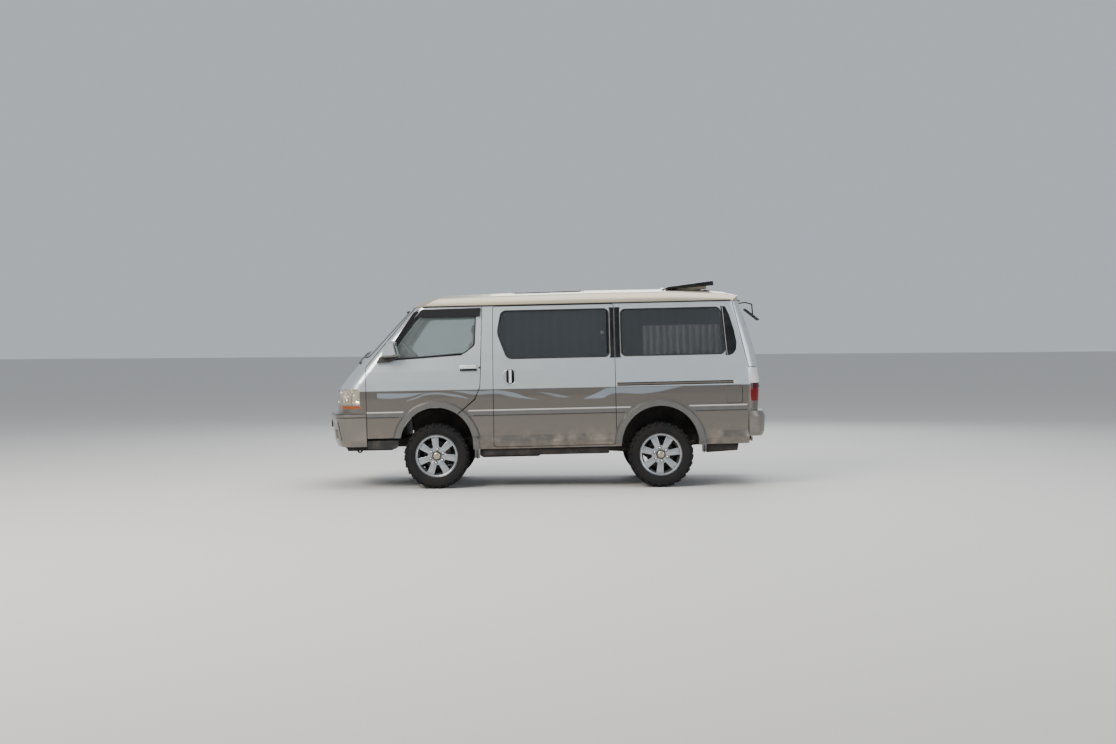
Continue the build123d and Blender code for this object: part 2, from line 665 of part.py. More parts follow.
save(suspension, "suspension")

# Rear axle with its differential, and the shaft to it
REAR_TUBE_R = 40
hub_inner = TRACK_Y - 70
rear_axle = disc(REAR_HUB[0], REAR_HUB[1], REAR_TUBE_R, -hub_inner, hub_inner)
with BuildPart(Location((REAR_HUB[0], 0, REAR_HUB[1]))) as differential:
    Sphere(118)
rear_axle = rear_axle + differential.part
rear_axle = rear_axle + rod((REAR_HUB[0] - 60, 0, REAR_HUB[1]), (-300, 0, 420), 32)
for side in (-1, 1):
    rear_axle = rear_axle + box(
        REAR_HUB[0] - 60, REAR_HUB[0] + 60, side * RAIL_Y - 30, side * RAIL_Y + 30, REAR_HUB[1] - 30, 370
    )
    rear_axle = rear_axle + disc(REAR_HUB[0], REAR_HUB[1], 125, side * (hub_inner - 20), side * (hub_inner + 20))
    rear_axle = rear_axle + disc(REAR_HUB[0], REAR_HUB[1], STUB_R, side * hub_inner, side * (TRACK_Y + STUB_END))
save(rear_axle, "rear_axle")

# Knuckle: kingpin post, stub axle and brake caliper carrier; local to the hub
knuckle = rod((FRONT_HUB[0], -KINGPIN_Y, ARM_LOW + 13), (FRONT_HUB[0], -KINGPIN_Y, ARM_HIGH - 13), KNUCKLE_R)
knuckle = knuckle + disc(FRONT_HUB[0], FRONT_HUB[1], 48, -KINGPIN_Y + 30, -KINGPIN_Y - 30)
knuckle = knuckle + disc(FRONT_HUB[0], FRONT_HUB[1], STUB_R, -KINGPIN_Y, -TRACK_Y - STUB_END)
knuckle = knuckle + rod((FRONT_HUB[0], -KINGPIN_Y, ARM_LOW - 11), (FRONT_HUB[0], -KINGPIN_Y, ARM_HIGH + 11), PIN_R)
save(knuckle, "knuckle_left")
save(right_of(knuckle), "knuckle_right")

# Wheels: tyre and alloy rim, turned about the axle
RIM_W = 178
TYRE_SIDES = 28
# Carcass, from one bead over the tread to the other: station across, radius
TYRE_ROWS = [
    (-83, 222), (-92, 229), (-108, 268), (-106, 305), (-94, 331),
    (94, 331), (106, 305), (108, 268), (92, 229), (83, 222),
]
# Shoulder lug section: radius, station across
LUG_SECTION = [(322, -66), (TYRE_R, -66), (TYRE_R, -94), (333, -109), (309, -TYRE_W / 2), (304, -104)]
LUGS = 14
LUG_HALF = 18
with BuildPart() as carcass:
    for y, radius in TYRE_ROWS:
        with BuildSketch(Plane.XZ.offset(-y)):
            RegularPolygon(radius, TYRE_SIDES)
    loft(ruled=True)
    with BuildSketch(Plane.XZ.offset(TYRE_W)):
        RegularPolygon(RIM_R + 0.1, TYRE_SIDES, major_radius=False)
    extrude(amount=-2 * TYRE_W, mode=Mode.SUBTRACT)
with BuildPart() as lug:
    with BuildSketch(Plane.XY):
        with BuildLine():
            Polyline(*LUG_SECTION, close=True)
        make_face()
    extrude(amount=LUG_HALF, both=True)
inner_lug = right_of(lug.part)
lug_pitch = 360 / LUGS
with BuildPart() as tyre:
    add(carcass.part)
    add([lug.part.rotate(Axis.Y, 90 + i * lug_pitch) for i in range(LUGS)])
    add([inner_lug.rotate(Axis.Y, 90 + (i + 0.5) * lug_pitch) for i in range(LUGS)])

SPOKES = 7
SPOKE_FACE = 62
with BuildPart() as rim:
    with BuildSketch(Plane.XY):
        with BuildLine():
            Polyline(
                (RIM_R + 14, -RIM_W / 2 - 4), (RIM_R + 14, -RIM_W / 2 + 4), (RIM_R, -RIM_W / 2 + 6),
                (RIM_R, RIM_W / 2 - 6), (RIM_R + 14, RIM_W / 2 - 4), (RIM_R + 14, RIM_W / 2 + 4),
                (RIM_R - 12, RIM_W / 2 + 4), (RIM_R - 16, -RIM_W / 2 - 4), close=True,
            )
        make_face()
    revolve(axis=Axis.Y)
    with BuildSketch(Plane.XY):
        with BuildLine():
            Polyline(
                (STUB_R + PIN_PLAY, -20), (90, -20), (90, -48), (62, -SPOKE_FACE - 4), (40, -88),
                (0, -92), (0, -76), (STUB_R + PIN_PLAY, -72), close=True,
            )
        make_face()
    revolve(axis=Axis.Y)
    with BuildSketch(Plane.XZ.offset(44)):
        with PolarLocations(0, SPOKES):
            Polygon((60, -26), (RIM_R - 10, -38), (RIM_R - 10, 38), (60, 26), align=None)
    extrude(amount=26)

tyre_left = tyre.part
rim_left = rim.part
# Name, axle x, side, turn of the first spoke
WHEELS = [
    ("front_left", FRONT_AXLE_X, -1, 83),
    ("front_right", FRONT_AXLE_X, 1, 83),
    ("rear_left", REAR_AXLE_X, -1, 100),
    ("rear_right", REAR_AXLE_X, 1, 100),
]
for name, x, side, turn in WHEELS:
    for kind, form in (("tyre", tyre_left), ("rim", rim_left.rotate(Axis.Y, turn))):
        turned = form if side < 0 else right_of(form)
        save(Pos(x, side * TRACK_Y, TYRE_R) * turned, f"{kind}_{name}", raked=False)

# Front doors with windows, visors, mirrors and trim
left_door = ((shell & door_block) - front_arch) - door_window
# Door mirror: a tapered head on a short arm at the front corner of the window
MIRROR_HEAD = [(-1700, 1385), (-1625, 1560), (-1530, 1563), (-1499, 1410), (-1560, 1392)]
MIRROR_Y = (-850, -1010)
with BuildPart() as mirror_head:
    with BuildSketch(Plane.XZ.offset(-MIRROR_Y[0])) as head_face:
        with BuildLine():
            Polyline(*MIRROR_HEAD, close=True)
        make_face()
        fillet(head_face.vertices(), 26)
    extrude(amount=MIRROR_Y[0] - MIRROR_Y[1], taper=8)
mirror_housing = mirror_head.part
MIRROR_ARM = [(-1732, 1350), (-1640, 1470), (-1560, 1460), (-1545, 1410), (-1620, 1350)]
mirror_arm = side_block(MIRROR_ARM, -780, -870)
left_door = left_door + (mirror_arm - body) + mirror_housing
door_handle = side_block([(-869, 1248), (-869, 1288), (-695, 1288), (-695, 1248)], -800, -848, 14)
left_door = left_door + (door_handle - cabin)
save(left_door, "front_door_left")
save(right_of(left_door), "front_door_right")
VISOR_PROUD = 22
visor = (envelope(-VISOR_PROUD) - envelope(-VISOR_PROUD + 4)) & side_block(
    [(-1340, 1800), (-1318, 1872), (-650, 1888), (-660, 1800)]
)
visor_root = (envelope(-VISOR_PROUD + 4) - body) & side_block(
    [(-1318, 1868), (-650, 1868), (-650, 1888), (-1318, 1880)]
)
door_glass = (glass_shell & door_window) + visor + visor_root
save(door_glass, "door_window_left")
save(right_of(door_glass), "door_window_right")

moulding_band = (proud - body) & box(-2500, 2500, -1000, 0, MOULD_Z0, MOULD_Z1)
FLARE_SLANT = 0.5


def flare_ring(x, z, radius):
    """Cone about the wheel arch whose edge meets the body side at radius and draws in outwards."""
    inner, outer = radius + 84 * FLARE_SLANT, radius - 76 * FLARE_SLANT
    with BuildPart(Plane(origin=(x, -760, z), z_dir=(0, -1, 0))) as cone:
        Cone(inner, outer, 160, align=(Align.CENTER, Align.CENTER, Align.MIN))
    return cone.part


front_flare_ring = flare_ring(ARCH_FRONT_X, ARCH_FRONT_Z, ARCH_FRONT_R + FLARE_W)
rear_flare_ring = flare_ring(ARCH_REAR_X, ARCH_REAR_Z, ARCH_REAR_R + FLARE_W)
flare_skin = flare_out - body
front_flare = (flare_skin & front_flare_ring & box(-2000, 0, -1000, 0, DOOR_LOW, 1100)) - front_arch
rear_flare = (flare_skin & rear_flare_ring & box(0, 2000, -1000, 0, SILL_Z + 30, 1100)) - rear_arch
door_trim = front_flare & door_block
door_trim = door_trim + ((moulding_band & door_block) - front_arch - front_flare_ring)
save(door_trim, "door_trim_left")
save(right_of(door_trim), "door_trim_right")
body_flare = (front_flare - door_opening) + rear_flare
body_mould = moulding_band - door_opening - rear_arch - rear_flare_ring - front_flare_ring - front_arch
body_mould_left = (body_mould & box(-800, REAR_BUMPER_X - 20, -1000, 0, 700, 900)) - (slide_opening - slide_block)
body_mould_right = body_mould & box(-800, REAR_BUMPER_X - 20, -1000, 0, 700, 900)
save(both(body_flare) + body_mould_left + right_of(body_mould_right), "side_trim")

# Tailgate with its window and the parking mirror on its bent rod
tailgate = (shell & gate_block) - gate_window
tailgate = tailgate + barrel(HINGE_Y - 30, HINGE_Y + 30, HINGE_PIN_R)
for y in (HINGE_Y - 24, HINGE_Y + 24):
    tailgate = tailgate + barrel(y - 8, y + 8, BARREL_R)
    tailgate = tailgate + both(box(2040, GATE_HINGE[0], -y - 8, -y + 8, DOOR_TOP - 20, DOOR_TOP))
save(tailgate, "tailgate")
save(glass_shell & gate_window, "tailgate_window")
MIRROR_ARM_Y = 330
arm_points = [(2050, 1878), (2150, 1893), (2222, 1872), (2231, 1752)]
gate_mirror = None
for (xa, za), (xb, zb) in zip(arm_points, arm_points[1:]):
    piece = rod((xa, -MIRROR_ARM_Y, za), (xb, -MIRROR_ARM_Y, zb), 7)
    with BuildPart(Location((xb, -MIRROR_ARM_Y, zb))) as knee:
        Sphere(7)
    gate_mirror = piece + knee.part if gate_mirror is None else gate_mirror + piece + knee.part
gate_mirror = gate_mirror + side_block([(2141, 1826), (2141, 1812), (2282, 1697), (2290, 1706)], -230, -430)
gate_mirror = gate_mirror - body
save(gate_mirror, "parking_mirror")

flap_pin = rod((*FLAP_PIN, FLAP_ENDS[0][0] + 1), (*FLAP_PIN, FLAP_ENDS[1][1] - 1), FLAP_PIN_R)
flap = ((body - skin_in) & flap_block) + flap_pin
flap = flap + box(FLAP_PIN[0], FLAP[0] + 5, FLAP_PIN[1] - 0.5, FLAP_PIN[1] + 6, FLAP[2] + 20, FLAP[3] - 20)
save(flap, "fuel_flap")

# Flaps behind the wheels and the side steps
mud = None
for x, z0, z1 in ((-717, 322, FLOOR_Z - FLOOR_THICK), (1640, 334, FLOOR_Z - FLOOR_THICK)):
    flap_plate = cross_block(
        [(-590, z1), (-752, z1), (-752, SILL_Z - 8), (-835, SILL_Z - 8), (-830, z0), (-600, z0)], x - 4, x + 4
    )
    mud = flap_plate if mud is None else mud + flap_plate
save(both(mud), "mud_flaps")
step = side_block([(-1846, 444), (-1846, 530), (-1530, 530), (-1530, 470), (-1560, 444)], -690, -835)
save(both(step), "side_steps")

# Underneath: engine, tank and exhaust
save(box(-1420, -800, -250, 250, ENGINE_Z0, 820), "engine")
save(side_block([(-680, 330), (-680, 530), (-60, 530), (-60, 330)], -410, -740, 30), "fuel_tank")
pipe = rod((-600, 200, 400), (1700, 200, 400), 26)
exhaust = pipe + box(120, 420, 130, 290, 330, 470) + box(1660, 2000, 120, 330, 356, 490)
exhaust = exhaust + rod((1990, 220, 420), (2270, 220, 404), 24) + box(1700, 1730, 190, 260, 480, 530)
exhaust = exhaust + box(200, 230, 190, 260, 460, 530)

save(exhaust, "exhaust")

# Inside: dashboard, steering wheel, seats, bed and curtains
DASH_SECTION = [
    (-1880, 900), (-1980, 1110), (-1980, 1200), (-1820, 1330),
    (-1560, 1300), (-1530, 1180), (-1600, 1100), (-1640, 900),
]
dash = side_block(DASH_SECTION, 690, -690)
dash = dash & envelope(WALL + 8)
dash_leg = box(-1860, -1780, -680, 680, FLOOR_Z, 930) & envelope(WALL + 8)
STEER_WHEEL_Y = 385
STEER_WHEEL = (-1452, 1408)
COLUMN_TILT = 48
COLUMN_R = 20
COLUMN_END = 235
COLUMN_LENGTH = COLUMN_END - 10
column_way = (sin(radians(COLUMN_TILT)), 0, cos(radians(COLUMN_TILT)))
column_plane = Plane(origin=(STEER_WHEEL[0], STEER_WHEEL_Y, STEER_WHEEL[1]), z_dir=column_way)
with BuildPart() as steering_rim:
    with BuildSketch(Plane.XZ):
        with Locations((185, 0)):
            RegularPolygon(14, 8)
    revolve(axis=Axis.Z)
with BuildPart(column_plane) as steering:
    add(steering_rim.part)
    Cylinder(52, 36)
    with PolarLocations(0, 3):
        Box(176, 26, 12, align=(Align.MIN, Align.CENTER, Align.CENTER))
    with Locations((0, 0, -COLUMN_END)):
        Cylinder(COLUMN_R, COLUMN_LENGTH, align=(Align.CENTER, Align.CENTER, Align.MIN))
save(steering.part, "steering_wheel")
with BuildPart(column_plane) as column_bore:
    with Locations((0, 0, -COLUMN_END - 4)):
        Cylinder(COLUMN_R + PIN_PLAY, COLUMN_LENGTH, align=(Align.CENTER, Align.CENTER, Align.MIN))
save(dash + dash_leg - column_bore.part, "dashboard")
# Seats: plinth, cushion, back and headrest on two posts
seat = box(-1240, -820, -600, -180, PLATFORM_Z, 965)
seat = seat + side_block([(-1300, 1000), (-1285, 1072), (-860, 1048), (-850, 960), (-1260, 955)], -150, -640, 24)
seat = seat + side_block([(-885, 1010), (-775, 1562), (-705, 1575), (-690, 1500), (-775, 985)], -165, -625, 22)
seat = seat + side_block([(-778, 1600), (-765, 1722), (-695, 1725), (-690, 1604)], -265, -525, 20)
for y in (-345, -445):
    seat = seat + rod((-742, y, 1540), (-730, y, 1640), 7)
save(both(seat), "front_seats")
bench = side_block(
    [(-80, FLOOR_Z), (-80, 900), (0, 960), (2020, 960), (2020, 925), (330, 925), (300, FLOOR_Z)], 690, -690
)
bench = bench + (box(1880, 1960, -690, -640, FLOOR_Z, 930) + box(1880, 1960, 640, 690, FLOOR_Z, 930))
save(bench, "bed")
curtain_zone = side_block([(790, 1300), (790, 1860), (1900, 1860), (1900, 1300)])
shade_zone = side_block([(-440, 1330), (-440, 1870), (700, 1870), (700, 1330)])
curtain = (envelope(WALL + SOFT_SEAT) - envelope(WALL + 35)) & curtain_zone
shade = (envelope(WALL + SOFT_SEAT) - envelope(WALL + 7)) & shade_zone
save(curtain + shade, "curtains")
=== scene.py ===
"""Looks of a forward-control camper van: paint, glass, lamps, wheels, trim and the cabin's soft goods."""
import json
import math

import bmesh
import bpy
from mathutils import Matrix, Vector

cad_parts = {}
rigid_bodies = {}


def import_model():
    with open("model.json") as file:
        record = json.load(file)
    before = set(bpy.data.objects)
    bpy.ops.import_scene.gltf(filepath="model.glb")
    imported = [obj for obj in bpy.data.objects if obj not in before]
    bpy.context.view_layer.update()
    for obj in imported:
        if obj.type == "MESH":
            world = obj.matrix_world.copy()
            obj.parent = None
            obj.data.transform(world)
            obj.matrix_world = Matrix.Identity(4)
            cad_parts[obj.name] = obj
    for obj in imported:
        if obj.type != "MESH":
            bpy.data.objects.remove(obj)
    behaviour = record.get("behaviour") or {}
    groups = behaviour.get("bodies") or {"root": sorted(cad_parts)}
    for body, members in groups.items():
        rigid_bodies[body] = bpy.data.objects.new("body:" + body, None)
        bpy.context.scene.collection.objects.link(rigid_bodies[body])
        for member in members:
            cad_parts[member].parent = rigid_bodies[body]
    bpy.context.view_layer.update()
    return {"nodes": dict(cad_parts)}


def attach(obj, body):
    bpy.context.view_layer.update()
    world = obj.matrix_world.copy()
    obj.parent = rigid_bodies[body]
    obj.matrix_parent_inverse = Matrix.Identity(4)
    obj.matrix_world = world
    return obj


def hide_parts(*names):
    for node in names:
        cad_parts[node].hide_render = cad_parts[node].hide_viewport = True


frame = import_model()

# The body stands nose down on its wheels by this angle; its own level frame is used for every body piece
RAKE = math.radians(0.9)
BODY_TILT = Matrix.Rotation(-RAKE, 4, "Y")

# Driving sizes of the van, in metres, as in the frame
FRONT_AXLE_X = -1.145
REAR_AXLE_X = 1.185
TRACK_Y = 0.712
TYRE_R = 0.340
GUTTER_Z = 1.905
TWO_TONE_Z = 1.036
HATCH_TILT = math.radians(6.5)
# Wheel arches in the body's level frame: middle x, middle z, reach of the flare
ARCHES = ((-1.1336, 0.485, 0.478), (1.1882, 0.428, 0.500))
# The sliding door's rail: x from, x to, height, half its width, half the bar in it
RAIL = (0.751, 1.956, 1.062, 0.0178, 0.0088)
# Dark bead and bright bead of the side moulding
BEAD_DARK_Z = 0.7745
BEAD_BRIGHT_Z = 0.8235

# Colours that more than one finish has
DUST = (0.30, 0.25, 0.19)
BLACK_LINE = (0.014, 0.014, 0.014)

# Flutes on a metre of lamp lens
LENS_FLUTES = 170.0
# Pleats of the rear curtain: first and length of one, along the side
CURTAIN_X0 = 1.030
CURTAIN_PITCH = 0.0683

# Camera of the photograph: picture size, focal length in pixels, and where it stood
PHOTO_WIDTH = 1116
FOCAL_PX = 1550
CAMERA_PLACE = (0.121, -16.88, 1.432)
CAMERA_PITCH = math.atan2(22, FOCAL_PX)
CAMERA_ROLL = 0.0071
SENSOR = 36.0


class Finish:
    """A material in the making: its node tree, with short calls for the nodes that these finishes use."""

    def __init__(self, name, colour=(0.5, 0.5, 0.5), roughness=0.5, metallic=0.0, **sockets):
        self.material = bpy.data.materials.new(name)
        self.material.use_nodes = True
        self.tree = self.material.node_tree
        self.shader = self.tree.nodes["Principled BSDF"]
        self.set("Base Color", (*colour, 1))
        self.set("Roughness", roughness)
        self.set("Metallic", metallic)
        for socket, value in sockets.items():
            self.set(socket.replace("_", " "), value)

    def set(self, socket, value):
        """Gives a shader socket a plain value or the output of another node."""
        if isinstance(value, bpy.types.NodeSocket):
            self.tree.links.new(value, self.shader.inputs[socket])
        else:
            self.shader.inputs[socket].default_value = value

    def node(self, kind, inputs=(), **settings):
        """A shader node with plain values or sockets on its inputs."""
        made = self.tree.nodes.new("ShaderNode" + kind)
        for key, value in settings.items():
            setattr(made, key, value)
        for key, value in dict(inputs).items():
            if isinstance(value, bpy.types.NodeSocket):
                self.tree.links.new(value, made.inputs[key])
            else:
                made.inputs[key].default_value = value
        return made

    def calc(self, operation, *terms):
        """A Math node on numbers or sockets."""
        return self.node("Math", enumerate(terms), operation=operation).outputs[0]

    def times(self, *terms):
        """The product of numbers and sockets."""
        made = terms[0]
        for term in terms[1:]:
            made = self.calc("MULTIPLY", made, term)
        return made

    def off(self, value, middle):
        """How far a value is from a middle one."""
        return self.calc("ABSOLUTE", self.calc("SUBTRACT", value, middle))

    def inside(self, value, low, high):
        """1 between two limits and 0 elsewhere."""
        return self.times(self.calc("GREATER_THAN", value, low), self.calc("LESS_THAN", value, high))

    def spot(self):
        """Object coordinates."""
        return self.node("TexCoord").outputs["Object"]

    def level(self):
        """The three coordinates in the body's own level frame."""
        split = self.node("SeparateXYZ", {0: self.spot()})
        x, y, z = split.outputs
        along = self.calc("ADD", self.times(x, math.cos(RAKE)), self.times(z, math.sin(RAKE)))
        up = self.calc("SUBTRACT", self.times(z, math.cos(RAKE)), self.times(x, math.sin(RAKE)))
        return along, y, up

    def noise(self, scale, detail, stretch=(1, 1, 1)):
        """Cloudy noise from 0 to 1."""
        place = self.node("Mapping", {"Vector": self.spot(), "Scale": stretch}).outputs[0]
        inputs = {"Vector": place, "Scale": scale, "Detail": detail, "Roughness": 0.5}
        return self.node("TexNoise", inputs).outputs["Fac"]

    def ramp(self, value, low, high, to_low=0.0, to_high=1.0):
        """Runs value from low..high to to_low..to_high, smoothly and clamped."""
        inputs = {"Value": value, "From Min": low, "From Max": high, "To Min": to_low, "To Max": to_high}
        return self.node("MapRange", inputs, interpolation_type="SMOOTHSTEP").outputs[0]

    def blend(self, share, first, second):
        """Mixes two colours, each a triple or a socket."""
        made = self.node("Mix", data_type="RGBA")
        for key, value in ((0, share), (6, first), (7, second)):
            if isinstance(value, bpy.types.NodeSocket):
                self.tree.links.new(value, made.inputs[key])
            elif key:
                made.inputs[key].default_value = (*value, 1)
            else:
                made.inputs[key].default_value = value
        return made.outputs[2]

    def bump(self, height, depth, strength):
        """Grain of a depth in metres."""
        inputs = {"Height": height, "Distance": depth, "Strength": strength}
        self.set("Normal", self.node("Bump", inputs).outputs[0])

    def curve(self, x, points):
        """A height that follows points (x, z) along x, within their reach."""
        x0, x1 = points[0][0], points[-1][0]
        z0, z1 = min(z for _, z in points), max(z for _, z in points)
        share = self.node("MapRange", {"Value": x, "From Min": x0, "From Max": x1}).outputs[0]
        made = self.node("FloatCurve", {"Value": share})
        line = made.mapping.curves[0]
        while len(line.points) < len(points):
            line.points.new(0.5, 0.5)
        for spot, (px, pz) in zip(line.points, points):
            spot.location = ((px - x0) / (x1 - x0), (pz - z0) / max(z1 - z0, 1e-6))
            spot.handle_type = "AUTO"
        made.mapping.update()
        return self.calc("MULTIPLY_ADD", made.outputs[0], z1 - z0, z0)


# Ribbons of the two-tone band: rows of (x, lower edge, upper edge) along the side, and how pale each one is
RIBBONS = [
    (0.9, [
        (-1.737, 0.968, 1.024), (-1.607, 0.958, 1.021), (-1.451, 0.965, 1.018), (-1.321, 0.993, 1.018),
        (-1.145, 1.026, 1.034),
    ]),
    (0.7, [
        (-1.433, 0.925, 0.940), (-1.321, 0.955, 0.984), (-1.154, 0.990, 1.021), (-0.988, 0.971, 1.007),
        (-0.790, 0.940, 0.950),
    ]),
    (0.8, [
        (-0.988, 1.027, 1.031), (-0.850, 1.003, 1.031), (-0.692, 0.978, 1.024), (-0.523, 0.985, 1.030),
        (-0.357, 0.952, 1.008), (-0.145, 0.923, 0.941), (0.002, 0.912, 0.916),
    ]),
    (0.6, [(-0.089, 1.000, 1.004), (0.058, 0.957, 0.988), (0.150, 0.934, 0.969), (0.271, 0.934, 0.938)]),
    (0.9, [
        (0.391, 0.912, 0.920), (0.520, 0.914, 0.972), (0.584, 0.915, 1.000), (0.650, 0.943, 1.026),
        (0.742, 0.962, 1.034), (0.991, 0.952, 1.035), (1.150, 0.965, 1.034), (1.308, 0.996, 1.035),
        (1.457, 1.026, 1.035),
    ]),
]


def inside_faces(finish):
    """1 where a face looks towards the middle of the cabin, so that walls are lined there."""
    middle = {0: finish.spot(), 1: (0.05, 0.0, 1.15)}
    away = finish.node("VectorMath", middle, operation="SUBTRACT").outputs[0]
    pressed = finish.node("VectorMath", {0: away, 1: (0.4, 1.0, 0.9)}, operation="MULTIPLY").outputs[0]
    normal = finish.node("TexCoord").outputs["Normal"]
    facing = finish.node("VectorMath", {0: pressed, 1: normal}, operation="DOT_PRODUCT").outputs["Value"]
    return finish.ramp(facing, -0.02, -0.06)


def ribbons(finish, x, z):
    """How strongly the ribbons show, each one fading in at its lower edge."""
    drawn = 0.0
    for strength, rows in RIBBONS:
        low = finish.curve(x, [(px, lower) for px, lower, _ in rows])
        high = finish.curve(x, [(px, upper) for px, _, upper in rows])
        above = finish.ramp(finish.calc("SUBTRACT", z, low), 0.0, 0.016)
        below = finish.ramp(finish.calc("SUBTRACT", high, z), 0.0, 0.004)
        reach = finish.inside(x, rows[0][0], rows[-1][0])
        drawn = finish.calc("MAXIMUM", drawn, finish.times(above, below, reach, strength))
    return drawn


def road_dust(finish, z, top, bottom, share):
    """Share of dust, in clouds that thicken towards the ground."""
    return finish.times(finish.ramp(z, top, bottom), finish.ramp(finish.noise(9.0, 6.0), 0.35, 0.7), share)


def body_paint():
    """Two-tone metallic paint with pale ribbons, low dust and lining inside; painted shadow under the drip
    rail, painted shade and highlight in the door rail.
    """
    finish = Finish("body_paint", roughness=0.3, metallic=0.75, Coat_Weight=0.6, Coat_Roughness=0.06)
    x, y, z = finish.level()
    line = finish.calc("MULTIPLY_ADD", x, -0.0035, TWO_TONE_Z)
    lower = finish.ramp(finish.calc("SUBTRACT", line, z), 0.0, 0.003)
    flake = finish.noise(260.0, 1.0)
    silver = finish.blend(flake, (0.53, 0.57, 0.59), (0.59, 0.63, 0.65))
    warm = finish.blend(flake, (0.125, 0.112, 0.098), (0.16, 0.145, 0.128))
    sides = finish.ramp(finish.calc("ABSOLUTE", y), 0.74, 0.78)
    colour = finish.blend(lower, silver, warm)
    colour = finish.blend(finish.times(ribbons(finish, x, z), sides, lower), colour, (0.29, 0.34, 0.385))
    pin_line = finish.times(finish.ramp(finish.off(line, z), 0.006, 0.003), sides, 0.6)
    colour = finish.blend(pin_line, colour, (0.06, 0.057, 0.054))
    # Painted shadow: a near-black line on the flank just under the roof's drip rail.
    gutter_shadow = finish.ramp(z, 1.8985, 1.9000)
    colour = finish.blend(gutter_shadow, colour, (0.012, 0.012, 0.012))
    # Painted light in the sliding door's rail: its groove is painted near black as shade, its bar pale brown
    # as a highlight.
    rail_x0, rail_x1, rail_z, groove_half, bar_half = RAIL
    from_rail = finish.off(z, rail_z)
    in_shaded_groove = finish.calc("LESS_THAN", from_rail, groove_half)
    left = finish.calc("LESS_THAN", y, 0.0)
    on_rail = finish.times(finish.inside(x, rail_x0, rail_x1), in_shaded_groove, left)
    on_highlit_bar = finish.calc("LESS_THAN", from_rail, bar_half)
    rail = finish.blend(on_highlit_bar, (0.010, 0.010, 0.010), (0.17, 0.14, 0.115))
    colour = finish.blend(on_rail, colour, rail)
    dust = road_dust(finish, z, 0.70, 0.42, 0.45)
    colour = finish.blend(dust, colour, DUST)
    lining = inside_faces(finish)
    cloth = finish.blend(finish.noise(40.0, 4.0), (0.27, 0.26, 0.25), (0.33, 0.32, 0.30))
    finish.set("Base Color", finish.blend(lining, colour, cloth))
    bare = finish.calc("SUBTRACT", 1.0, finish.calc("MAXIMUM", lining, dust))
    finish.set("Metallic", finish.times(bare, 0.75))
    haze = finish.calc("MULTIPLY_ADD", finish.noise(5.0, 5.0), 0.10, 0.25)
    rough = finish.calc("ADD", haze, finish.times(dust, 0.7))
    finish.set("Roughness", finish.calc("MAXIMUM", rough, finish.times(lining, 0.9)))
    finish.bump(finish.noise(700.0, 2.0), 0.00012, 0.4)
    return finish.material


def roof_paint():
    """The paler, warmer metallic of the roof over a painted shadow line at its drip rail, lined below."""
    finish = Finish("roof_paint", roughness=0.32, metallic=0.7, Coat_Weight=0.5, Coat_Roughness=0.08)
    colour = finish.blend(finish.noise(260.0, 1.0), (0.45, 0.39, 0.29), (0.52, 0.46, 0.35))
    x, y, z = finish.level()
    # Painted shadow: the drip rail's outer face is painted near black.
    edge = finish.ramp(finish.calc("ABSOLUTE", y), 0.737, 0.741)
    drip_shadow = finish.times(edge, finish.ramp(z, 1.915, 1.911))
    colour = finish.blend(drip_shadow, colour, (0.015, 0.015, 0.015))
    lining = inside_faces(finish)
    finish.set("Base Color", finish.blend(lining, colour, (0.44, 0.42, 0.38)))
    finish.set("Metallic", finish.times(finish.calc("SUBTRACT", 1.0, lining), 0.7))
    haze = finish.calc("MULTIPLY_ADD", finish.noise(4.0, 5.0), 0.12, 0.26)
    finish.set("Roughness", finish.calc("MAXIMUM", haze, finish.times(lining, 0.9)))
    finish.bump(finish.noise(700.0, 2.0), 0.00012, 0.4)
    return finish.material


def moulded_plastic(name, colour, roughness, grain, dust):
    """Grained plastic with a little dust in its hollows."""
    finish = Finish(name, roughness=roughness, Specular_IOR_Level=0.35)
    cloud = finish.ramp(finish.noise(14.0, 6.0), 0.4, 0.75)
    shade = tuple(c * 0.75 for c in colour)
    tinted = finish.blend(finish.noise(60.0, 3.0), colour, shade)
    finish.set("Base Color", finish.blend(finish.times(cloud, dust), tinted, (0.30, 0.26, 0.21)))
    finish.set("Roughness", finish.calc("MULTIPLY_ADD", cloud, 0.2, roughness))
    finish.bump(finish.noise(grain, 2.0), 0.0004, 0.5)
    return finish.material


def trim_plastic():
    """Satin grey flares and mouldings; the moulding has a bright upper bead and a dark lower one."""
    finish = Finish("trim_plastic", roughness=0.38, metallic=0.35, Coat_Weight=0.4)
    x, y, z = finish.level()
    cloud = finish.noise(11.0, 5.0)
    colour = finish.blend(cloud, (0.092, 0.091, 0.088), (0.120, 0.118, 0.113))
    clear = 1.0
    for arch_x, arch_z, reach in ARCHES:
        dx = finish.calc("SUBTRACT", x, arch_x)
        dz = finish.calc("SUBTRACT", z, arch_z)
        away = finish.calc("SQRT", finish.calc("ADD", finish.times(dx, dx), finish.times(dz, dz)))
        clear = finish.times(clear, finish.calc("GREATER_THAN", away, reach))
    bright = finish.times(clear, finish.ramp(finish.off(z, BEAD_BRIGHT_Z), 0.0075, 0.0062))
    dark = finish.times(clear, finish.ramp(z, BEAD_DARK_Z + 0.001, BEAD_DARK_Z - 0.001))
    colour = finish.blend(bright, colour, (0.50, 0.49, 0.47))
    finish.set("Base Color", finish.blend(dark, colour, BLACK_LINE))
    finish.set("Roughness", finish.calc("MULTIPLY_ADD", cloud, 0.2, 0.30))
    finish.bump(finish.noise(900.0, 2.0), 0.0002, 0.4)
    return finish.material


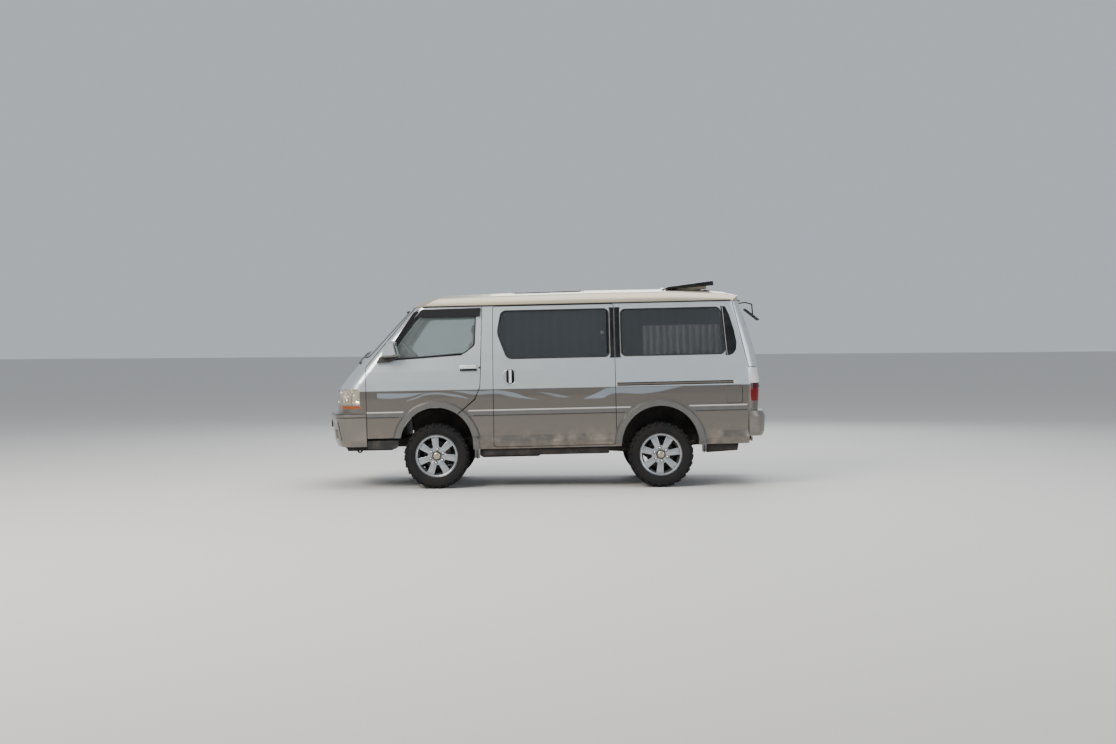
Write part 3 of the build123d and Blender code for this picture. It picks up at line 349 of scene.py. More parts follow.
def bumper_paint():
    """The lower body colour on plastic, with two dark creases, scuffed and dusty towards the ground."""
    finish = Finish("bumper_paint", metallic=0.45, Coat_Weight=0.4, Coat_Roughness=0.12)
    x, y, z = finish.level()
    colour = finish.blend(finish.noise(260.0, 1.0), (0.135, 0.125, 0.112), (0.17, 0.157, 0.142))
    dust = road_dust(finish, z, 0.72, 0.46, 1.0)
    groove = finish.ramp(finish.off(z, BEAD_DARK_Z), 0.0055, 0.0040)
    crease = finish.ramp(finish.off(z, 0.8130), 0.0040, 0.0028)
    colour = finish.blend(finish.calc("MAXIMUM", groove, crease), colour, BLACK_LINE)
    finish.set("Base Color", finish.blend(finish.times(dust, 0.5), colour, DUST))
    finish.set("Roughness", finish.calc("MULTIPLY_ADD", dust, 0.4, 0.34))
    finish.bump(finish.noise(700.0, 2.0), 0.00015, 0.4)
    return finish.material


def underseal(name, colour=(0.016, 0.015, 0.014), rust=0.12):
    """Chassis black with road dust and a bloom of rust."""
    finish = Finish(name, roughness=0.8, Specular_IOR_Level=0.25)
    bloom = finish.times(finish.ramp(finish.noise(18.0, 7.0), 0.5, 0.7), rust)
    pale = tuple(c * 1.8 + 0.006 for c in colour)
    dusty = finish.blend(finish.ramp(finish.noise(6.0, 6.0), 0.4, 0.7), colour, pale)
    finish.set("Base Color", finish.blend(bloom, dusty, (0.17, 0.085, 0.045)))
    finish.set("Roughness", finish.calc("MULTIPLY_ADD", bloom, 0.3, 0.65))
    finish.bump(finish.noise(120.0, 5.0), 0.0015, 0.6)
    return finish.material


def tyre_rubber():
    """Black rubber, dusty on the shoulders and blocks."""
    finish = Finish("tyre_rubber", roughness=0.8, Specular_IOR_Level=0.22)
    cloud = finish.ramp(finish.noise(7.0, 7.0), 0.35, 0.7)
    x, y, z = finish.node("SeparateXYZ", {0: finish.spot()}).outputs
    across = finish.calc("SUBTRACT", finish.calc("ABSOLUTE", y), TRACK_Y)
    shoulder = finish.ramp(finish.calc("ABSOLUTE", across), 0.112, 0.106)
    dust = finish.times(cloud, shoulder, 0.25)
    finish.set("Base Color", finish.blend(dust, (0.007, 0.007, 0.008), (0.045, 0.040, 0.034)))
    finish.set("Roughness", finish.calc("MULTIPLY_ADD", cloud, 0.18, 0.68))
    finish.bump(finish.noise(400.0, 4.0), 0.0006, 0.5)
    return finish.material


def alloy():
    """Silver-lacquered alloy with brake dust."""
    finish = Finish("alloy", roughness=0.35, metallic=0.85, Coat_Weight=0.3, Coat_Roughness=0.15)
    cloud = finish.ramp(finish.noise(16.0, 6.0), 0.45, 0.75)
    brake_dust = finish.times(cloud, 0.45)
    finish.set("Base Color", finish.blend(brake_dust, (0.40, 0.425, 0.445), (0.20, 0.185, 0.165)))
    finish.set("Roughness", finish.calc("MULTIPLY_ADD", cloud, 0.22, 0.28))
    return finish.material


def bright_metal(name="bright_metal", colour=(0.72, 0.72, 0.72), roughness=0.18):
    """Bare or plated metal with faint clouds."""
    finish = Finish(name, roughness=roughness, metallic=1.0)
    cloud = finish.noise(30.0, 5.0)
    finish.set("Base Color", finish.blend(cloud, colour, tuple(c * 0.85 for c in colour)))
    finish.set("Roughness", finish.calc("MULTIPLY_ADD", cloud, 0.15, roughness - 0.06))
    return finish.material


def window_glass(name, colour, clear, frit=None):
    """Tinted safety glass. clear is the share of light that passes, frit a span of x painted black."""
    finish = Finish(name, roughness=0.03, IOR=1.33, Transmission_Weight=clear)
    tint = finish.blend(finish.noise(3.0, 2.0), colour, tuple(c * 0.85 for c in colour))
    if frit:
        black = finish.inside(finish.level()[0], *frit)
        tint = finish.blend(black, tint, (0.006, 0.006, 0.007))
        finish.set("Transmission Weight", finish.times(finish.calc("SUBTRACT", 1.0, black), clear))
    finish.set("Base Color", tint)
    finish.set("Roughness", finish.ramp(finish.noise(6.0, 6.0), 0.4, 0.8, 0.0, 0.03))
    return finish.material


def screen_glass():
    """Clear windscreen glass with a black painted border."""
    finish = Finish("screen_glass", roughness=0.03, IOR=1.45, Transmission_Weight=0.95, Coat_Weight=0.4)
    x, y, z = finish.level()
    narrowing = finish.calc("MULTIPLY_ADD", z, 0.186, finish.calc("ABSOLUTE", y))
    bottom, top = finish.ramp(z, 1.432, 1.429), finish.ramp(z, 1.842, 1.845)
    sides = finish.ramp(narrowing, 0.928, 0.931)
    border = finish.calc("MAXIMUM", finish.calc("MAXIMUM", bottom, top), sides)
    finish.set("Base Color", finish.blend(border, (0.84, 0.92, 0.90), (0.005, 0.005, 0.005)))
    finish.set("Transmission Weight", finish.times(finish.calc("SUBTRACT", 1.0, border), 0.95))
    finish.set("Roughness", finish.ramp(finish.noise(6.0, 6.0), 0.4, 0.8, 0.02, 0.09))
    return finish.material


def front_door_glass():
    """Clear door glass; the rain visor that stands proud of it is smoked nearly black."""
    finish = Finish("door_glass", roughness=0.03, IOR=1.45, Transmission_Weight=0.92, Coat_Weight=0.4)
    x, y, z = finish.level()
    lean = finish.calc("MULTIPLY_ADD", finish.calc("SUBTRACT", z, 1.80), 0.16, finish.calc("ABSOLUTE", y))
    visor = finish.ramp(lean, 0.7555, 0.7575)
    finish.set("Base Color", finish.blend(visor, (0.66, 0.73, 0.72), (0.014, 0.013, 0.014)))
    finish.set("Transmission Weight", finish.calc("MULTIPLY_ADD", visor, -0.62, 0.92))
    finish.set("Roughness", finish.ramp(finish.noise(6.0, 6.0), 0.4, 0.8, 0.02, 0.09))
    return finish.material


def silvered(name, colour, roughness):
    """Silvered surface with faint haze."""
    finish = Finish(name, colour, roughness, 1.0)
    finish.set("Roughness", finish.ramp(finish.noise(20.0, 5.0), 0.3, 0.8, roughness, roughness + 0.08))
    return finish.material


def gloss_black(name="gloss_black", haziness=0.12):
    """Black lacquer or smoked acrylic, faintly hazed."""
    finish = Finish(name, roughness=0.12, Specular_IOR_Level=0.3)
    haze = finish.ramp(finish.noise(9.0, 6.0), 0.4, 0.8)
    finish.set("Base Color", finish.blend(haze, (0.006, 0.006, 0.007), (0.016, 0.016, 0.017)))
    finish.set("Roughness", finish.calc("MULTIPLY_ADD", haze, haziness, 0.10))
    return finish.material


def silver_lacquer(name, metallic, first, second):
    """The body's silver on small grips, its metal flake more or less covered; the paler, less metallic copy
    is a painted highlight on the grips.
    """
    finish = Finish(name, roughness=0.25, metallic=metallic, Coat_Weight=0.6, Coat_Roughness=0.06)
    finish.set("Base Color", finish.blend(finish.noise(260.0, 1.0), first, second))
    finish.set("Roughness", finish.ramp(finish.noise(30.0, 4.0), 0.3, 0.8, 0.2, 0.34))
    return finish.material


def timber():
    """Pale plywood with a long grain and darker annual bands."""
    finish = Finish("timber", roughness=0.55)
    bands = finish.noise(14.0, 6.0, (0.2, 3.0, 3.0))
    grain = finish.noise(60.0, 4.0, (0.1, 4.0, 4.0))
    tone = finish.blend(finish.ramp(bands, 0.35, 0.65), (0.42, 0.27, 0.14), (0.56, 0.39, 0.22))
    streaks = finish.ramp(grain, 0.55, 0.75, 0.0, 0.35)
    finish.set("Base Color", finish.blend(streaks, tone, (0.26, 0.15, 0.07)))
    finish.bump(grain, 0.0004, 0.4)
    return finish.material


def shade_mesh():
    """Dark open-weave shade with faint upright bands."""
    finish = Finish("shade_mesh", roughness=0.85, Sheen_Weight=0.2)
    x, y, z = finish.level()
    band = finish.calc("SINE", finish.times(x, 62.0))
    warp, weft = (finish.calc("SINE", finish.times(along, 2200.0)) for along in (x, z))
    shade = finish.ramp(finish.calc("MULTIPLY_ADD", band, 0.25, finish.noise(7.0, 4.0)), 0.2, 0.9)
    finish.set("Base Color", finish.blend(shade, (0.020, 0.030, 0.040), (0.045, 0.060, 0.075)))
    finish.bump(finish.times(warp, weft), 0.0004, 0.6)
    return finish.material


def lamp_glass(name, bands, clear):
    """Lamp lens in colour bands, lowest first, with fine flutes."""
    finish = Finish(name, roughness=0.08, IOR=1.2, Transmission_Weight=clear, Coat_Weight=0.6)
    x, y, z = finish.level()
    colour = bands[-1][1]
    for top, tone in reversed(bands[:-1]):
        colour = finish.blend(finish.ramp(z, top - 0.001, top + 0.001), tone, colour)
    finish.set("Base Color", colour)
    wave = finish.calc("SINE", finish.times(y, LENS_FLUTES * math.tau / 2))
    finish.bump(wave, 0.0006, 0.35)
    return finish.material


def woven(name, colour):
    """Woven cloth: two crossed threads, tonal clouds and a soft sheen."""
    finish = Finish(name, roughness=0.9, Sheen_Weight=0.3)
    x, y, z = finish.node("SeparateXYZ", {0: finish.spot()}).outputs
    warp = finish.calc("SINE", finish.times(finish.calc("ADD", x, z), 1400.0))
    weft = finish.calc("SINE", finish.times(finish.calc("SUBTRACT", y, z), 1400.0))
    cloud = finish.ramp(finish.noise(8.0, 5.0), 0.3, 0.7)
    finish.set("Base Color", finish.blend(cloud, colour, tuple(c * 0.8 for c in colour)))
    finish.bump(finish.times(warp, weft), 0.0005, 0.6)
    return finish.material


def curtain_cloth():
    """Cloth with painted light along the pleats' outer folds and painted shade in their hollows, its tone
    varied in clouds.
    """
    finish = Finish("curtain_cloth", roughness=0.9, Sheen_Weight=0.2)
    x, y, z = finish.level()
    per_metre = math.tau / CURTAIN_PITCH
    turn = finish.calc("MULTIPLY_ADD", x, per_metre, -per_metre * CURTAIN_X0)
    # Painted shade and light: the colour follows the pleats, dark in their hollows and pale on their crests.
    fold = finish.ramp(finish.calc("SINE", turn), -0.5, 0.8)
    thread = finish.calc("SINE", finish.times(z, 3000.0))
    cloud = finish.ramp(finish.noise(8.0, 5.0), 0.3, 0.7, 0.7, 1.0)
    lit_folds = finish.times(fold, cloud)
    finish.set("Base Color", finish.blend(lit_folds, (0.42, 0.31, 0.27), (0.92, 0.76, 0.68)))
    finish.bump(thread, 0.0004, 0.5)
    return finish.material


# Colour bands of the lamp lenses: upper edge, colour
HEAD_BANDS = [(0.902, (0.95, 0.36, 0.08)), (9, (0.97, 0.93, 0.82))]
TAIL_BANDS = [(0.990, (0.27, 0.006, 0.010)), (1.045, (0.10, 0.008, 0.014)), (9, (0.90, 0.89, 0.88))]

MATERIALS = {
    "body_paint": body_paint(),
    "roof_paint": roof_paint(),
    "bumper_paint": bumper_paint(),
    "trim": trim_plastic(),
    "black_plastic": moulded_plastic("black_plastic", (0.016, 0.016, 0.017), 0.5, 900.0, 0.12),
    "rubber": moulded_plastic("seal_rubber", (0.010, 0.010, 0.010), 0.6, 500.0, 0.1),
    "dash": moulded_plastic("dash_plastic", (0.10, 0.10, 0.105), 0.6, 1200.0, 0.1),
    "chassis": underseal("underseal"),
    "iron": underseal("cast_iron", (0.045, 0.042, 0.04), 0.35),
    "exhaust": underseal("exhaust_steel", (0.16, 0.14, 0.12), 0.6),
    "tyre": tyre_rubber(),
    "alloy": alloy(),
    "bright": bright_metal(),
    "dark_metal": bright_metal("dark_metal", (0.10, 0.10, 0.105), 0.35),
    "cap": bright_metal("hub_cap", (0.50, 0.44, 0.34), 0.3),
    "screen_glass": screen_glass(),
    "door_glass": front_door_glass(),
    "side_glass": window_glass("side_glass", (0.30, 0.34, 0.37), 0.92, frit=(0.650, 0.8)),
    "gate_glass": window_glass("gate_glass", (0.12, 0.13, 0.14), 0.8),
    "smoked": window_glass("smoked_acrylic", (0.03, 0.03, 0.032), 0.6),
    "head_lens": lamp_glass("head_lens", HEAD_BANDS, 0.92),
    "gloss_black": gloss_black(),
    "silver": silver_lacquer("silver_lacquer", 0.75, (0.50, 0.53, 0.55), (0.58, 0.61, 0.63)),
    # A paler copy of the body's silver: painted highlight on the door and sliding door grips.
    "highlit_lacquer": silver_lacquer("highlit_lacquer", 0.3, (0.66, 0.67, 0.68), (0.74, 0.75, 0.76)),
    "pale_trim": moulded_plastic("pale_trim", (0.50, 0.50, 0.49), 0.4, 900.0, 0.15),
    "mirror": silvered("mirror_silver", (0.86, 0.88, 0.88), 0.02),
    "reflector": silvered("reflector", (0.82, 0.80, 0.76), 0.10),
    "bulb_glass": window_glass("bulb_glass", (0.95, 0.80, 0.62), 0.7),
    "plate": moulded_plastic("blank_plate", (0.66, 0.65, 0.60), 0.35, 1200.0, 0.3),
    "timber": timber(),
    "mesh": shade_mesh(),
    "bubble": gloss_black("smoked_bubble", 0.04),
    "liner": moulded_plastic("pale_liner", (0.50, 0.43, 0.32), 0.5, 900.0, 0.2),
    "tail_lens": lamp_glass("tail_lens", TAIL_BANDS, 0.5),
    "seat": woven("seat_cloth", (0.30, 0.29, 0.28)),
    "bed": woven("bed_cloth", (0.36, 0.32, 0.26)),
    "curtain": curtain_cloth(),
}

NODE_FINISH = {
    "body_paint": [
        "left_side_panel", "right_side_panel", "nose_panel", "windscreen_frame", "sliding_door",
        "front_door_left", "front_door_right", "tailgate", "fuel_flap",
    ],
    "roof_paint": ["roof_panel"],
    "bumper_paint": ["front_bumper", "rear_bumper"],
    "trim": ["side_trim", "door_trim_left", "door_trim_right"],
    "black_plastic": ["grille", "side_steps", "hatch_frame", "parking_mirror", "mud_flaps"],
    "dash": ["dashboard", "steering_wheel"],
    "chassis": ["floor_pan", "chassis_frame", "suspension", "fuel_tank"],
    "iron": ["rear_axle", "knuckle_left", "knuckle_right", "engine"],
    "exhaust": ["exhaust"],
    "head_lens": ["headlamps"],
    "tail_lens": ["tail_lamps"],
    "screen_glass": ["windscreen"],
    "door_glass": ["door_window_left", "door_window_right"],
    "side_glass": ["side_windows"],
    "gate_glass": ["tailgate_window"],
    "smoked": ["sunroof", "hatch_lid"],
    "seat": ["front_seats"],
    "bed": ["bed"],
    "curtain": ["curtains"],
    "tyre": ["tyre_front_left", "tyre_front_right", "tyre_rear_left", "tyre_rear_right"],
    "alloy": ["rim_front_left", "rim_front_right", "rim_rear_left", "rim_rear_right"],
}


def paint_frame():
    """Gives every CAD node its finish."""
    for finish, nodes in NODE_FINISH.items():
        for name in nodes:
            node = frame["nodes"][name]
            node.data.materials.clear()
            node.data.materials.append(MATERIALS[finish])


# Body sections, low to high: height, half width
SIDE_ROWS = [
    (0.415, 0.812), (0.490, 0.838), (0.560, 0.826), (0.780, 0.842), (0.960, 0.846), (1.060, 0.845),
    (1.130, 0.841), (1.240, 0.831), (1.400, 0.811), (1.650, 0.776), (1.905, 0.735),
]
# Nose and tail on the centre line: height, nose x, tail x
END_ROWS = [
    (0.415, -2.215, 2.225), (0.560, -2.225, 2.242), (0.780, -2.238, 2.262), (0.960, -2.240, 2.272),
    (1.060, -2.219, 2.276), (1.130, -2.168, 2.268), (1.240, -2.076, 2.256), (1.400, -1.935, 2.224),
    (1.650, -1.690, 2.148), (1.905, -1.440, 2.068),
]
NOSE_BOW = 2.2
TAIL_BOW = 6.0

# Windows as cut in the panels: three in side view, then the screen and the tailgate's from the front
DOOR_WINDOW = [(-1.668, 1.362), (-1.330, 1.852), (-0.702, 1.852), (-0.722, 1.500), (-0.830, 1.418)]
MIDDLE_WINDOW = [(-0.385, 1.350), (-0.484, 1.620), (-0.440, 1.850), (0.676, 1.850), (0.676, 1.350)]
REAR_WINDOW = [(0.800, 1.352), (0.800, 1.840), (1.838, 1.840), (1.876, 1.352)]
SCREEN = [(-0.700, 1.395), (0.700, 1.395), (0.612, 1.868), (-0.612, 1.868)]
GATE_WINDOW = [(-0.600, 1.320), (0.600, 1.320), (0.545, 1.800), (-0.545, 1.800)]


def between(rows, z, column):
    """A column of a table of sections at a height."""
    for low, high in zip(rows, rows[1:]):
        if z <= high[0]:
            return low[column] + (high[column] - low[column]) * (z - low[0]) / (high[0] - low[0])
    return rows[-1][column]


def side_y(z, proud=0.0):
    """Left flank of the body at a height, proud of its paint."""
    return -(between(SIDE_ROWS, z, 1) + proud)


def nose_x(y, z, proud=0.0):
    """The bowed nose at a station across and a height."""
    return between(END_ROWS, z, 1) + NOSE_BOW - math.sqrt(NOSE_BOW**2 - y**2) - proud


def tail_x(y, z, proud=0.0):
    """The bowed tail at a station across and a height."""
    return between(END_ROWS, z, 2) - TAIL_BOW + math.sqrt(TAIL_BOW**2 - y**2) + proud


def drop_in(bm, part, place=Matrix.Identity(4)):
    """Moves a finished shape to its place in a larger one."""
    bmesh.ops.transform(part, matrix=place, verts=part.verts)
    carrier = bpy.data.meshes.new("carrier")
    part.to_mesh(carrier)
    part.free()
    bm.from_mesh(carrier)
    bpy.data.meshes.remove(carrier)


def everything(bm):
    """All corners, edges and faces of a shape."""
    return bm.verts[:] + bm.edges[:] + bm.faces[:]


def eased(bm, parts, offset, segments, affect="EDGES"):
    """Rounds some edges or corners."""
    bmesh.ops.bevel(
        bm, geom=parts, offset=offset, segments=segments, profile=0.5, affect=affect, material=-1
    )


def extruded(bm):
    """Extrudes the face of a flat shape and gives the corners of its new end."""
    pushed = bmesh.ops.extrude_face_region(bm, geom=bm.faces[:])["geom"]
    return [part for part in pushed if isinstance(part, bmesh.types.BMVert)]


def block(low, high, bevel=0.004, segments=2):
    """A box between two corners with rounded edges."""
    bm = bmesh.new()
    bmesh.ops.create_cube(bm, size=1)
    bmesh.ops.scale(bm, vec=[h - l for l, h in zip(low, high)], verts=bm.verts)
    bmesh.ops.translate(bm, vec=[(l + h) / 2 for l, h in zip(low, high)], verts=bm.verts)
    eased(bm, bm.edges[:], bevel, segments)
    return bm


def on_nose(y, z, proud=0.0):
    """A point on the bowed nose."""
    return (nose_x(y, z, proud), y, z)


def on_tail(y, z, proud=0.0):
    """A point on the bowed tail."""
    return (tail_x(y, z, proud), y, z)


def lathe(profile, steps=48, closed=True):
    """Turns a profile of (radius, station) about the Y axis."""
    bm = bmesh.new()
    ring = [bm.verts.new((radius, station, 0)) for radius, station in profile]
    pairs = list(zip(ring, ring[1:])) + ([(ring[-1], ring[0])] if closed else [])
    edges = [bm.edges.new(pair) for pair in pairs]
    bmesh.ops.spin(
        bm, geom=ring + edges, cent=(0, 0, 0), axis=(0, 1, 0), dvec=(0, 0, 0), angle=math.tau, steps=steps,
        use_merge=True,
    )
    bmesh.ops.remove_doubles(bm, verts=bm.verts, dist=1e-5)
    bmesh.ops.dissolve_degenerate(bm, edges=bm.edges, dist=1e-5)
    return bm


def stud(bm, profile, steps, place):
    """Adds a solid turned shape, whose profile starts and ends on its axis."""
    drop_in(bm, lathe(profile, steps, closed=False), place)


def subdivide_long(bm, longest, cuts):
    """Divides the long edges of a block, so that it can bend or swell."""
    edges = [edge for edge in bm.edges if edge.calc_length() > longest]
    bmesh.ops.subdivide_edges(bm, edges=edges, cuts=cuts, use_grid_fill=True)


def turned(axis, degrees):
    """A turn about an axis of the frame."""
    return Matrix.Rotation(math.radians(degrees), 4, axis)


def prism(outline, y0, y1, bevel=0.0, corner=0.0):
    """A side-view outline between two stations, its corners and edges rounded."""
    bm = bmesh.new()
    bm.faces.new([bm.verts.new((x, y0, z)) for x, z in outline])
    if corner:
        eased(bm, bm.verts[:], corner, 4, "VERTICES")
    bmesh.ops.translate(bm, vec=(0, y1 - y0, 0), verts=extruded(bm))
    if bevel:
        rim = [edge for edge in bm.edges if len(edge.link_faces) == 2 and edge.calc_face_angle() > 0.9]
        eased(bm, rim, bevel, 2)
    return bm


def rounded(outline, corner, longest=0.08):
    """Points round an outline whose corners are arcs, closely spaced on its long runs."""
    bm = bmesh.new()
    bm.faces.new([bm.verts.new((a, b, 0)) for a, b in outline])
    eased(bm, bm.verts[:], corner, 5, "VERTICES")
    bm.faces.ensure_lookup_table()
    ring = [vert.co.xy.copy() for vert in bm.faces[0].verts]
    bm.free()
    points = []
    for start, end in zip(ring, ring[1:] + ring[:1]):
        count = max(1, round((end - start).length / longest))
        points += [start.lerp(end, i / count) for i in range(count)]
    return points


def bead(points, radius, closed=False):
    """Round rubber, wire or rod along points."""
    curve = bpy.data.curves.new("bead", "CURVE")
    curve.dimensions = "3D"
    curve.bevel_depth = radius
    curve.bevel_resolution = 3
    curve.use_fill_caps = not closed
    line = curve.splines.new("POLY")
    line.points.add(len(points) - 1)
    line.use_cyclic_u = closed
    for spot, place in zip(line.points, points):
        spot.co = (*place, 1)
    holder = bpy.data.objects.new("bead", curve)
    mesh = bpy.data.meshes.new_from_object(holder)
    bm = bmesh.new()
    bm.from_mesh(mesh)
    bmesh.ops.remove_doubles(bm, verts=bm.verts, dist=1e-6)
    for used, store in ((holder, bpy.data.objects), (curve, bpy.data.curves), (mesh, bpy.data.meshes)):
        store.remove(used)
    return bm


def side_bead(outline, corner, radius, proud=0.0, closed=True):
    """A bead that follows the left flank round a side-view outline."""
    points = rounded(outline, corner) if closed else [Vector(point) for point in outline]
    return bead([(x, side_y(z, proud), z) for x, z in points], radius, closed)


def skin_patch(outline, proud, thick=0.003, corner=0.0):
    """A thin plate on the left flank with a side-view outline, bent at the body's sections."""
    bm = bmesh.new()
    bm.faces.new([bm.verts.new((x, 0, z)) for x, z in outline])
    if corner:
        eased(bm, bm.verts[:], corner, 5, "VERTICES")
    for z, _ in SIDE_ROWS:
        bmesh.ops.bisect_plane(bm, geom=everything(bm), plane_co=(0, 0, z), plane_no=(0, 0, 1))
    for vert in extruded(bm):
        vert.co.y = thick
    for vert in bm.verts:
        vert.co.y += side_y(vert.co.z, proud)
    return bm


def outer_skin(node, way, thick, outside=True):
    """A wall made of a lamp solid's outer faces, or of all others. way is -1 at the nose, 1 at the tail."""
    bm = bmesh.new()
    bm.from_mesh(frame["nodes"][node].data)
    bmesh.ops.remove_doubles(bm, verts=bm.verts, dist=1e-5)
    unwanted = []
    for face in bm.faces:
        out = math.copysign(1, face.calc_center_median().y)
        faces_out = face.normal.x * way > 0.12 or face.normal.y * out > 0.12
        if faces_out != outside:
            unwanted.append(face)
    bmesh.ops.delete(bm, geom=unwanted, context="FACES")
    bmesh.ops.solidify(bm, geom=bm.faces[:], thickness=thick)
    return bm


def piece(
    name, bm, finish, body="chassis", level=True, both=False, smooth=40.0, outward=True
):
    """Makes a shape a piece that rides on a body. A level one is drawn in the body's own level frame."""
    if both:
        twin = bmesh.ops.duplicate(bm, geom=everything(bm))["geom"]
        corners = [part for part in twin if isinstance(part, bmesh.types.BMVert)]
        bmesh.ops.scale(bm, vec=(1, -1, 1), verts=corners)
    if level:
        bmesh.ops.transform(bm, matrix=BODY_TILT, verts=bm.verts)
    if outward:
        bmesh.ops.recalc_face_normals(bm, faces=bm.faces)
    mesh = bpy.data.meshes.new(name)
    bm.to_mesh(mesh)
    bm.free()
    mesh.polygons.foreach_set("use_smooth", [True] * len(mesh.polygons))
    mesh.set_sharp_from_angle(angle=math.radians(smooth))
    mesh.materials.append(MATERIALS[finish])
    made = bpy.data.objects.new(name, mesh)
    bpy.context.collection.objects.link(made)
    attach(made, body)
    return made


def flipped(bm):
    """The right-hand twin of a left-hand shape."""
    bmesh.ops.scale(bm, vec=(1, -1, 1), verts=bm.verts)
    return bm


# Tyre section, one side of the carcass: radius, distance from the tyre's middle
CARCASS = [
    (0.2055, 0.086), (0.214, 0.0935), (0.224, 0.0925), (0.236, 0.0985), (0.252, 0.1045), (0.270, 0.1075),
    (0.288, 0.1075), (0.296, 0.1065), (0.299, 0.1085), (0.304, 0.1083), (0.307, 0.1045), (0.320, 0.0995),
    (0.3285, 0.089),
]
# Shoulder lug section: radius, distance from the tyre's middle
LUG = [(0.322, 0.066), (0.3395, 0.066), (0.3395, 0.094), (0.333, 0.109), (0.309, 0.115), (0.304, 0.104)]
LUG_COUNT = 28
LUG_HALF = 0.013
# Centre blocks: distance from the middle, half length, half width, twist in degrees, lag in pitches
CENTRE_BLOCKS = [
    (-0.038, 0.019, 0.020, 24, 0.25), (0.038, 0.019, 0.020, 24, 0.75), (0.0, 0.014, 0.012, -30, 0.0),
]
TREAD_BASE = 0.326
TREAD_TOP = TYRE_R - 0.001

# Turned parts of a wheel: radius, station from its middle, outer side negative
RIM_PROFILE = [
    (0.219, -0.094), (0.222, -0.090), (0.219, -0.086), (0.206, -0.082), (0.204, -0.050), (0.190, -0.020),
    (0.190, 0.020), (0.204, 0.060), (0.206, 0.082), (0.219, 0.086), (0.219, 0.093), (0.200, 0.093),
    (0.183, 0.020), (0.183, -0.020), (0.196, -0.070), (0.200, -0.088),
]
HUB_PROFILE = [
    (0.026, -0.070), (0.040, -0.070), (0.044, -0.066), (0.090, -0.064), (0.096, -0.058), (0.096, -0.030),
    (0.026, -0.026),
]
CAP_PROFILE = [
    (0.0, -0.092), (0.020, -0.0915), (0.033, -0.088), (0.038, -0.082), (0.040, -0.070), (0.0, -0.069),
]
NUT_PROFILE = [
    (0.0, -0.086), (0.006, -0.0855), (0.0105, -0.082), (0.0110, -0.072), (0.0135, -0.064), (0.0, -0.062),
]
VALVE_PROFILE = [(0.0, -0.028), (0.0035, -0.027), (0.0035, -0.010), (0.005, -0.004), (0.0, 0.0)]
SEAT_PROFILE = [(0.010, -0.067), (0.0165, -0.067), (0.0185, -0.0645), (0.0185, -0.060), (0.010, -0.060)]
BRAKE_PROFILE = [
    (0.060, 0.052), (0.145, 0.052), (0.147, 0.054), (0.147, 0.066), (0.145, 0.068), (0.060, 0.068),
]
SPOKE = [(0.060, -0.027), (0.197, -0.039), (0.197, 0.039), (0.060, 0.027)]
SPOKES = 7
NUTS = 6
NUT_CIRCLE = 0.0698

# Name, axle x, side, turn of the first spoke in degrees
WHEELS = [
    ("front_left", FRONT_AXLE_X, -1, 83),
    ("front_right", FRONT_AXLE_X, 1, 83),
    ("rear_left", REAR_AXLE_X, -1, 100),
    ("rear_right", REAR_AXLE_X, 1, 100),
]


def tyre_shape():
    """All-terrain tyre: ribbed carcass, shoulder lugs that wrap on to the sidewalls, staggered blocks."""
    section = [(radius, -across) for radius, across in CARCASS] + CARCASS[::-1]
    tyre = lathe(section, 84)
    pitch = math.tau / LUG_COUNT
    for side in (-1, 1):
        for i in range(LUG_COUNT):
            lug = bmesh.new()
            lug.faces.new([lug.verts.new((radius, side * across, -LUG_HALF)) for radius, across in LUG])
            bmesh.ops.translate(lug, vec=(0, 0, 2 * LUG_HALF), verts=extruded(lug))
            eased(lug, lug.edges[:], 0.0016, 1)
            bmesh.ops.recalc_face_normals(lug, faces=lug.faces)
            turn = (i + (0.5 if side > 0 else 0.0)) * pitch
            drop_in(tyre, lug, Matrix.Rotation(turn, 4, "Y"))
    for across, half_long, half_wide, twist, lag in CENTRE_BLOCKS:
        for i in range(LUG_COUNT):
            low, high = (TREAD_BASE, -half_wide, -half_long), (TREAD_TOP, half_wide, half_long)
            place = Matrix.Rotation((i + lag) * pitch, 4, "Y") @ Matrix.Translation((0, across, 0))
            drop_in(tyre, block(low, high, 0.0018, 1), place @ turned("X", twist))
    return tyre


def rim_shape():
    """Seven-spoke alloy rim: barrel with its lips, hub and flat-faced spokes."""
    rim = lathe(RIM_PROFILE, 72)
    drop_in(rim, lathe(HUB_PROFILE, 48))
    for i in range(SPOKES):
        drop_in(rim, prism(SPOKE, -0.068, -0.046, 0.005), Matrix.Rotation(i * math.tau / SPOKES, 4, "Y"))
    for place in nut_places():
        drop_in(rim, lathe(SEAT_PROFILE, 20), place)
    return rim


def nut_places():
    """Where each wheel nut is, round the hub."""
    for i in range(NUTS):
        yield Matrix.Rotation((i + 0.5) * math.tau / NUTS, 4, "Y") @ Matrix.Translation((NUT_CIRCLE, 0, 0))


def fasteners_shape():
    """Six wheel nuts and the valve."""
    nuts = bmesh.new()
    for place in nut_places():
        stud(nuts, NUT_PROFILE, 6, place)
    stud(nuts, VALVE_PROFILE, 10, Matrix.Rotation(0.9, 4, "Y") @ Matrix.Translation((0.176, -0.062, 0)))
    return nuts


def shade_wells_shape():
    """Dark discs in the wells round the wheel nuts and a dark ring round the cap, painted shade in these
    hollows.
    """
    shade_wells = lathe([(0.040, -0.0712), (0.049, -0.0712), (0.049, -0.066), (0.040, -0.066)], 40)
    for place in nut_places():
        stud(shade_wells, [(0.0, -0.0692), (0.0165, -0.0692), (0.0165, -0.062), (0.0, -0.062)], 20, place)
    return shade_wells


